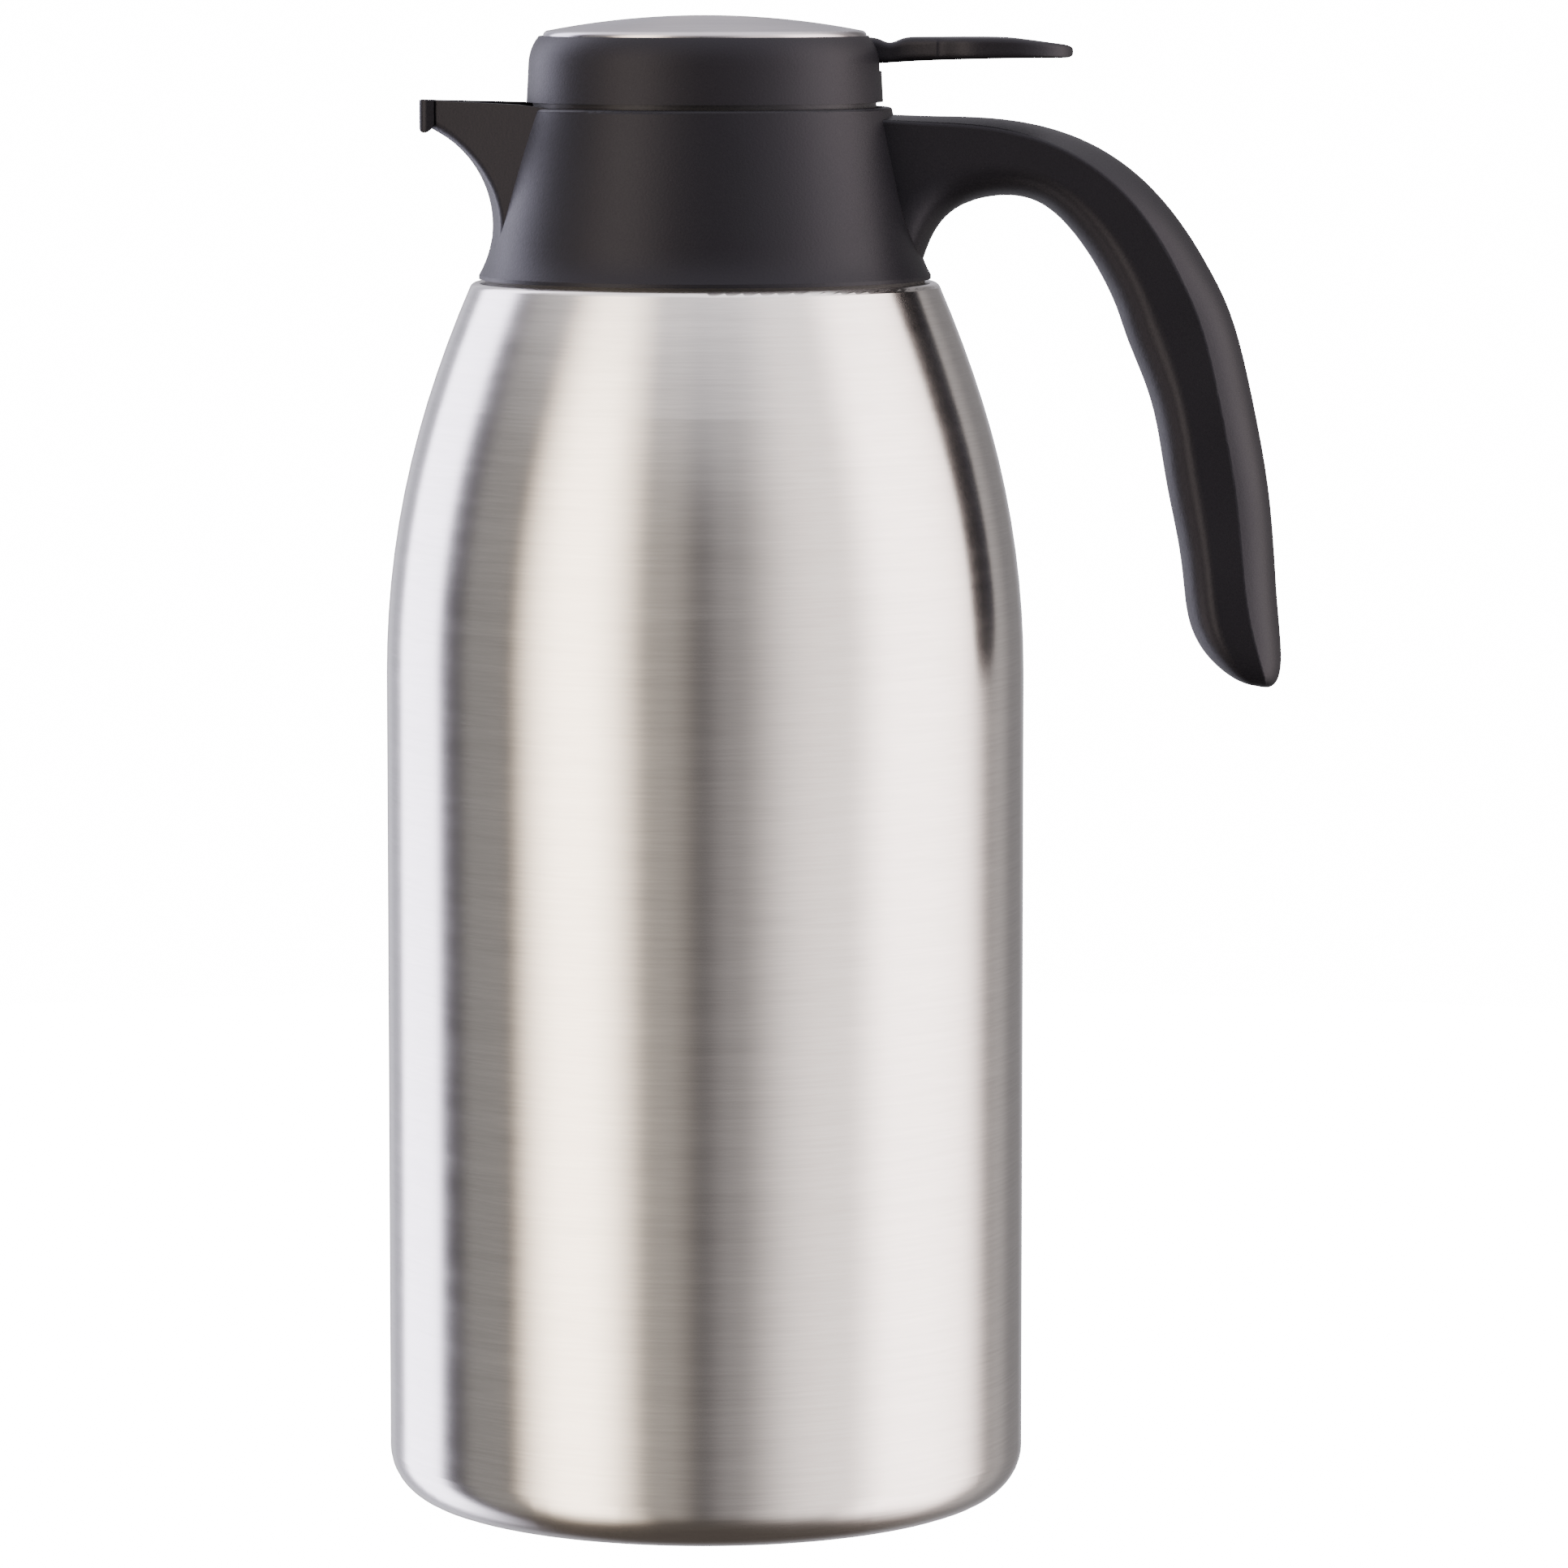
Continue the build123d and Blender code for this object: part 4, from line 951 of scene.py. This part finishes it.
@dataclass
class Stopper(SubAssembly):
    """The screw-in stopper with its plate and seals. Millimetres and degrees.

    The ridges start above the foot seal's travel, which the ring's thread clears as well.
    """

    wall_radius: float = 27.6
    ridge_rise: float = 1.0
    ridge_base: float = 249.3
    ridge_arc: float = 80.0
    finishes: ClassVar[dict[str, Finish]] = {
        "stopper_seal": SILICONE,
        "upper_gasket": SILICONE,
        "stopper_body": STOPPER_PLASTIC,
        "seat_plate": STOPPER_PLASTIC,
    }

    def add_pieces(self) -> None:
        """Adds the stopper's thread."""
        thread = ThreadRidges("stopper_thread", "stopper", "stopper_plastic", STOPPER_PLASTIC,
                              radius=self.wall_radius, rise=self.ridge_rise,
                              base=self.ridge_base, arc=self.ridge_arc)
        thread.build(self.wardrobe)


class Lid(SubAssembly):
    """The ring and disc on top of the stopper, their screws and the thumb lever."""

    finishes: ClassVar[dict[str, Finish]] = {
        "lid_ring": LID_PLASTIC,
        "lid_carrier": STOPPER_PLASTIC,
        "top_disc": DISC_STEEL,
        "lid_screws": WIRE_STEEL,
        "lever": LID_PLASTIC,
        "lever_pin": WIRE_STEEL,
    }


@dataclass
class Valve(SubAssembly):
    """The pouring valve, and the spring that the lever presses together.

    The spring's top stays, in millimetres, and the pressed share is the least of its length that
    it keeps. Neither is used here.
    """

    spring_top: float = 282.81
    pressed_share: float = 0.44
    finishes: ClassVar[dict[str, Finish]] = {
        "valve_stem": WIRE_STEEL,
        "valve_plug": STOPPER_PLASTIC,
        "valve_seal": SILICONE,
        "stem_wiper": SILICONE,
        "stem_head": STOPPER_PLASTIC,
        "valve_spring": WIRE_STEEL,
    }

    def add_pieces(self) -> None:
        """Adds the wound spring in place of the CAD one."""
        spring = ValveSpring("wound_valve_spring", "stopper", "small_steel", WIRE_STEEL)
        piece = spring.build(self.wardrobe)
        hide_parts("valve_spring")
        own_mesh(piece)


@dataclass(frozen=True)
class Softbox:
    """An upright soft light that the object mirrors, seen from the axis.

    Azimuth, width and the half width of its soft edge are in degrees.
    """

    azimuth: float
    span: float
    radiance: float
    colour: Colour
    edge: float

    def shine(self, sheet: NodeSheet, azimuth: Socket) -> Socket:
        """Its light in each direction.

        Args:
            sheet: the world's sheet.
            azimuth: socket with the direction's azimuth, in radians.

        Returns:
            The colour's socket.
        """
        away = sheet.maths("SUBTRACT", azimuth, math.radians(self.azimuth))
        away = sheet.maths("ABSOLUTE", sheet.maths("WRAP", away, math.pi, -math.pi))
        mask = sheet.add("ShaderNodeMapRange", interpolation_type="SMOOTHSTEP")
        sheet.feed(mask.inputs["Value"], away)
        mask.inputs["From Min"].default_value = math.radians(self.span / 2 - self.edge)
        mask.inputs["From Max"].default_value = math.radians(self.span / 2 + self.edge)
        mask.inputs["To Min"].default_value = self.radiance
        mask.inputs["To Max"].default_value = 0.0
        return sheet.scaled(self.colour, mask.outputs["Result"])


@dataclass
class Studio:
    """White ground, a world of upright softboxes and the camera of the photograph.

    Lengths are in metres, angles and heights above the horizon in degrees.
    """

    distance: float = 1.430
    eye_height: float = 0.302
    side_step: float = 0.0153
    focal_px: float = 9089.0
    frame_px: float = 1932.0
    sensor_mm: float = 36.0
    fall: float = 6.485
    shift: float = -0.08
    floor_radius: float = 0.7
    floor_sides: int = 96
    floor_drop: float = 0.0002
    floor_shade: float = 0.35
    floor_roughness: float = 0.8
    white: float = 16.0
    fill: Colour = (0.08, 0.076, 0.08)
    ceiling: Colour = (2.3, 2.2, 2.3)
    ceiling_from: float = 20.0
    ceiling_whole: float = 70.0
    table: Colour = (0.1, 0.085, 0.075)
    table_from: float = -30.0
    table_whole: float = -60.0
    softboxes: tuple[Softbox, ...] = (
        Softbox(-176, 34, 0.6, (0.92, 0.9, 1.0), 7),
        Softbox(-151, 30, 0.7, (0.85, 0.85, 1.0), 8),
        Softbox(-127, 29.5, 7.0, (0.86, 0.83, 1.0), 3),
        Softbox(-86, 22, 0.26, (1.0, 0.95, 0.88), 5),
        Softbox(-48, 32, 7.5, (1.0, 0.84, 0.68), 12),
        Softbox(-30, 48, 0.42, (1.0, 0.9, 0.78), 8),
        Softbox(20, 34, 0.3, (1.0, 0.93, 0.9), 8),
        Softbox(66, 74, 2.2, (1.0, 0.9, 0.86), 18),
        Softbox(89, 52, 4.4, (1.0, 0.86, 0.82), 11),
        Softbox(129, 20, 0.3, (1.0, 0.9, 0.86), 7),
        Softbox(148, 44, 0.2, (1.0, 0.95, 0.95), 8),
    )

    def build(self) -> None:
        """Makes everything that isn't the object."""
        self.build_floor()
        self.build_world()
        self.build_camera()

    def build_floor(self) -> None:
        """Round white ground that glows to the camera, so that it meets the background unseen."""
        form = bmesh.new()
        bmesh.ops.create_circle(form, cap_ends=True, segments=self.floor_sides,
                                radius=self.floor_radius)
        mesh = bpy.data.meshes.new("ground")
        form.to_mesh(mesh)
        form.free()
        material = bpy.data.materials.new("white ground")
        material.use_nodes = True
        sheet = NodeSheet(material.node_tree)
        shader = material.node_tree.nodes["Principled BSDF"]
        shader.inputs["Base Color"].default_value = (*[self.floor_shade] * 3, 1)
        shader.inputs["Roughness"].default_value = self.floor_roughness
        shader.inputs["Emission Color"].default_value = (1, 1, 1, 1)
        path = sheet.add("ShaderNodeLightPath")
        glow = sheet.maths("MULTIPLY", path.outputs["Is Camera Ray"], self.white)
        sheet.link(glow, shader.inputs["Emission Strength"])
        mesh.materials.append(material)
        ground = bpy.data.objects.new("ground", mesh)
        ground.location.z = -self.floor_drop
        ground.visible_glossy = False
        bpy.context.scene.collection.objects.link(ground)

    def build_world(self) -> None:
        """White to the camera, softboxes and a dim fill to what they light."""
        world = bpy.data.worlds.new("studio")
        bpy.context.scene.world = world
        world.use_nodes = True
        sheet = NodeSheet(world.node_tree)
        path = sheet.add("ShaderNodeLightPath")
        around = self.surroundings(sheet)
        seen = sheet.mixed(path.outputs["Is Camera Ray"], around, (self.white,) * 3)
        sheet.link(seen, world.node_tree.nodes["Background"].inputs["Color"])
        lay_out(world.node_tree)

    def surroundings(self, sheet: NodeSheet) -> Socket:
        """Light that the object gets from each direction.

        Args:
            sheet: the world's sheet.

        Returns:
            The colour's socket.
        """
        parts = sheet.add("ShaderNodeSeparateXYZ")
        sheet.link(sheet.add("ShaderNodeTexCoord").outputs["Generated"], parts.inputs[0])
        east, north, up = parts.outputs
        azimuth = sheet.maths("ARCTAN2", east, sheet.maths("MULTIPLY", north, -1.0))
        walls = self.fill
        for softbox in self.softboxes:
            walls = sheet.vector("ADD", walls, softbox.shine(sheet, azimuth))
        roof, table = (self.ceiling_from, self.ceiling_whole), (self.table_from, self.table_whole)
        roofed = self.blend(sheet, up, walls, self.ceiling, roof)
        return self.blend(sheet, up, roofed, self.table, table)

    def blend(self, sheet: NodeSheet, up: Socket, walls: Socket, beyond: Colour,
              heights: tuple[float, float]) -> Socket:
        """Turns one light into another with height.

        Args:
            sheet: the world's sheet.
            up: socket with the direction's rise, -1 to 1.
            walls: light before the first height.
            beyond: light past the second height.
            heights: the two heights, in degrees above the horizon.

        Returns:
            The colour's socket.
        """
        share = sheet.add("ShaderNodeMapRange", interpolation_type="SMOOTHSTEP")
        sheet.link(up, share.inputs["Value"])
        share.inputs["From Min"].default_value = math.sin(math.radians(heights[0]))
        share.inputs["From Max"].default_value = math.sin(math.radians(heights[1]))
        return sheet.mixed(share.outputs["Result"], walls, beyond)

    def build_camera(self) -> None:
        """Camera at the photograph's eye point, tilted down with a little shift."""
        data = bpy.data.cameras.new("camera")
        data.sensor_width = self.sensor_mm
        data.lens = self.focal_px * self.sensor_mm / self.frame_px
        data.shift_y = self.shift
        camera = bpy.data.objects.new("camera", data)
        camera.location = (self.side_step, -self.distance, self.eye_height)
        shifted = math.degrees(math.atan(-self.shift * self.frame_px / self.focal_px))
        camera.rotation_euler = (math.radians(90 - self.fall + shifted), 0, 0)
        bpy.context.scene.collection.objects.link(camera)
        bpy.context.scene.camera = camera


def main() -> None:
    """Builds the looks, the added pieces and the studio."""
    logging.basicConfig(level=logging.INFO, format="%(name)s: %(message)s")
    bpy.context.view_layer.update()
    wardrobe = Wardrobe()
    for part in (Vessel, Neck, Stopper, Lid, Valve):
        part(wardrobe).build()
    Studio().build()


if __name__ == "__main__":
    main()
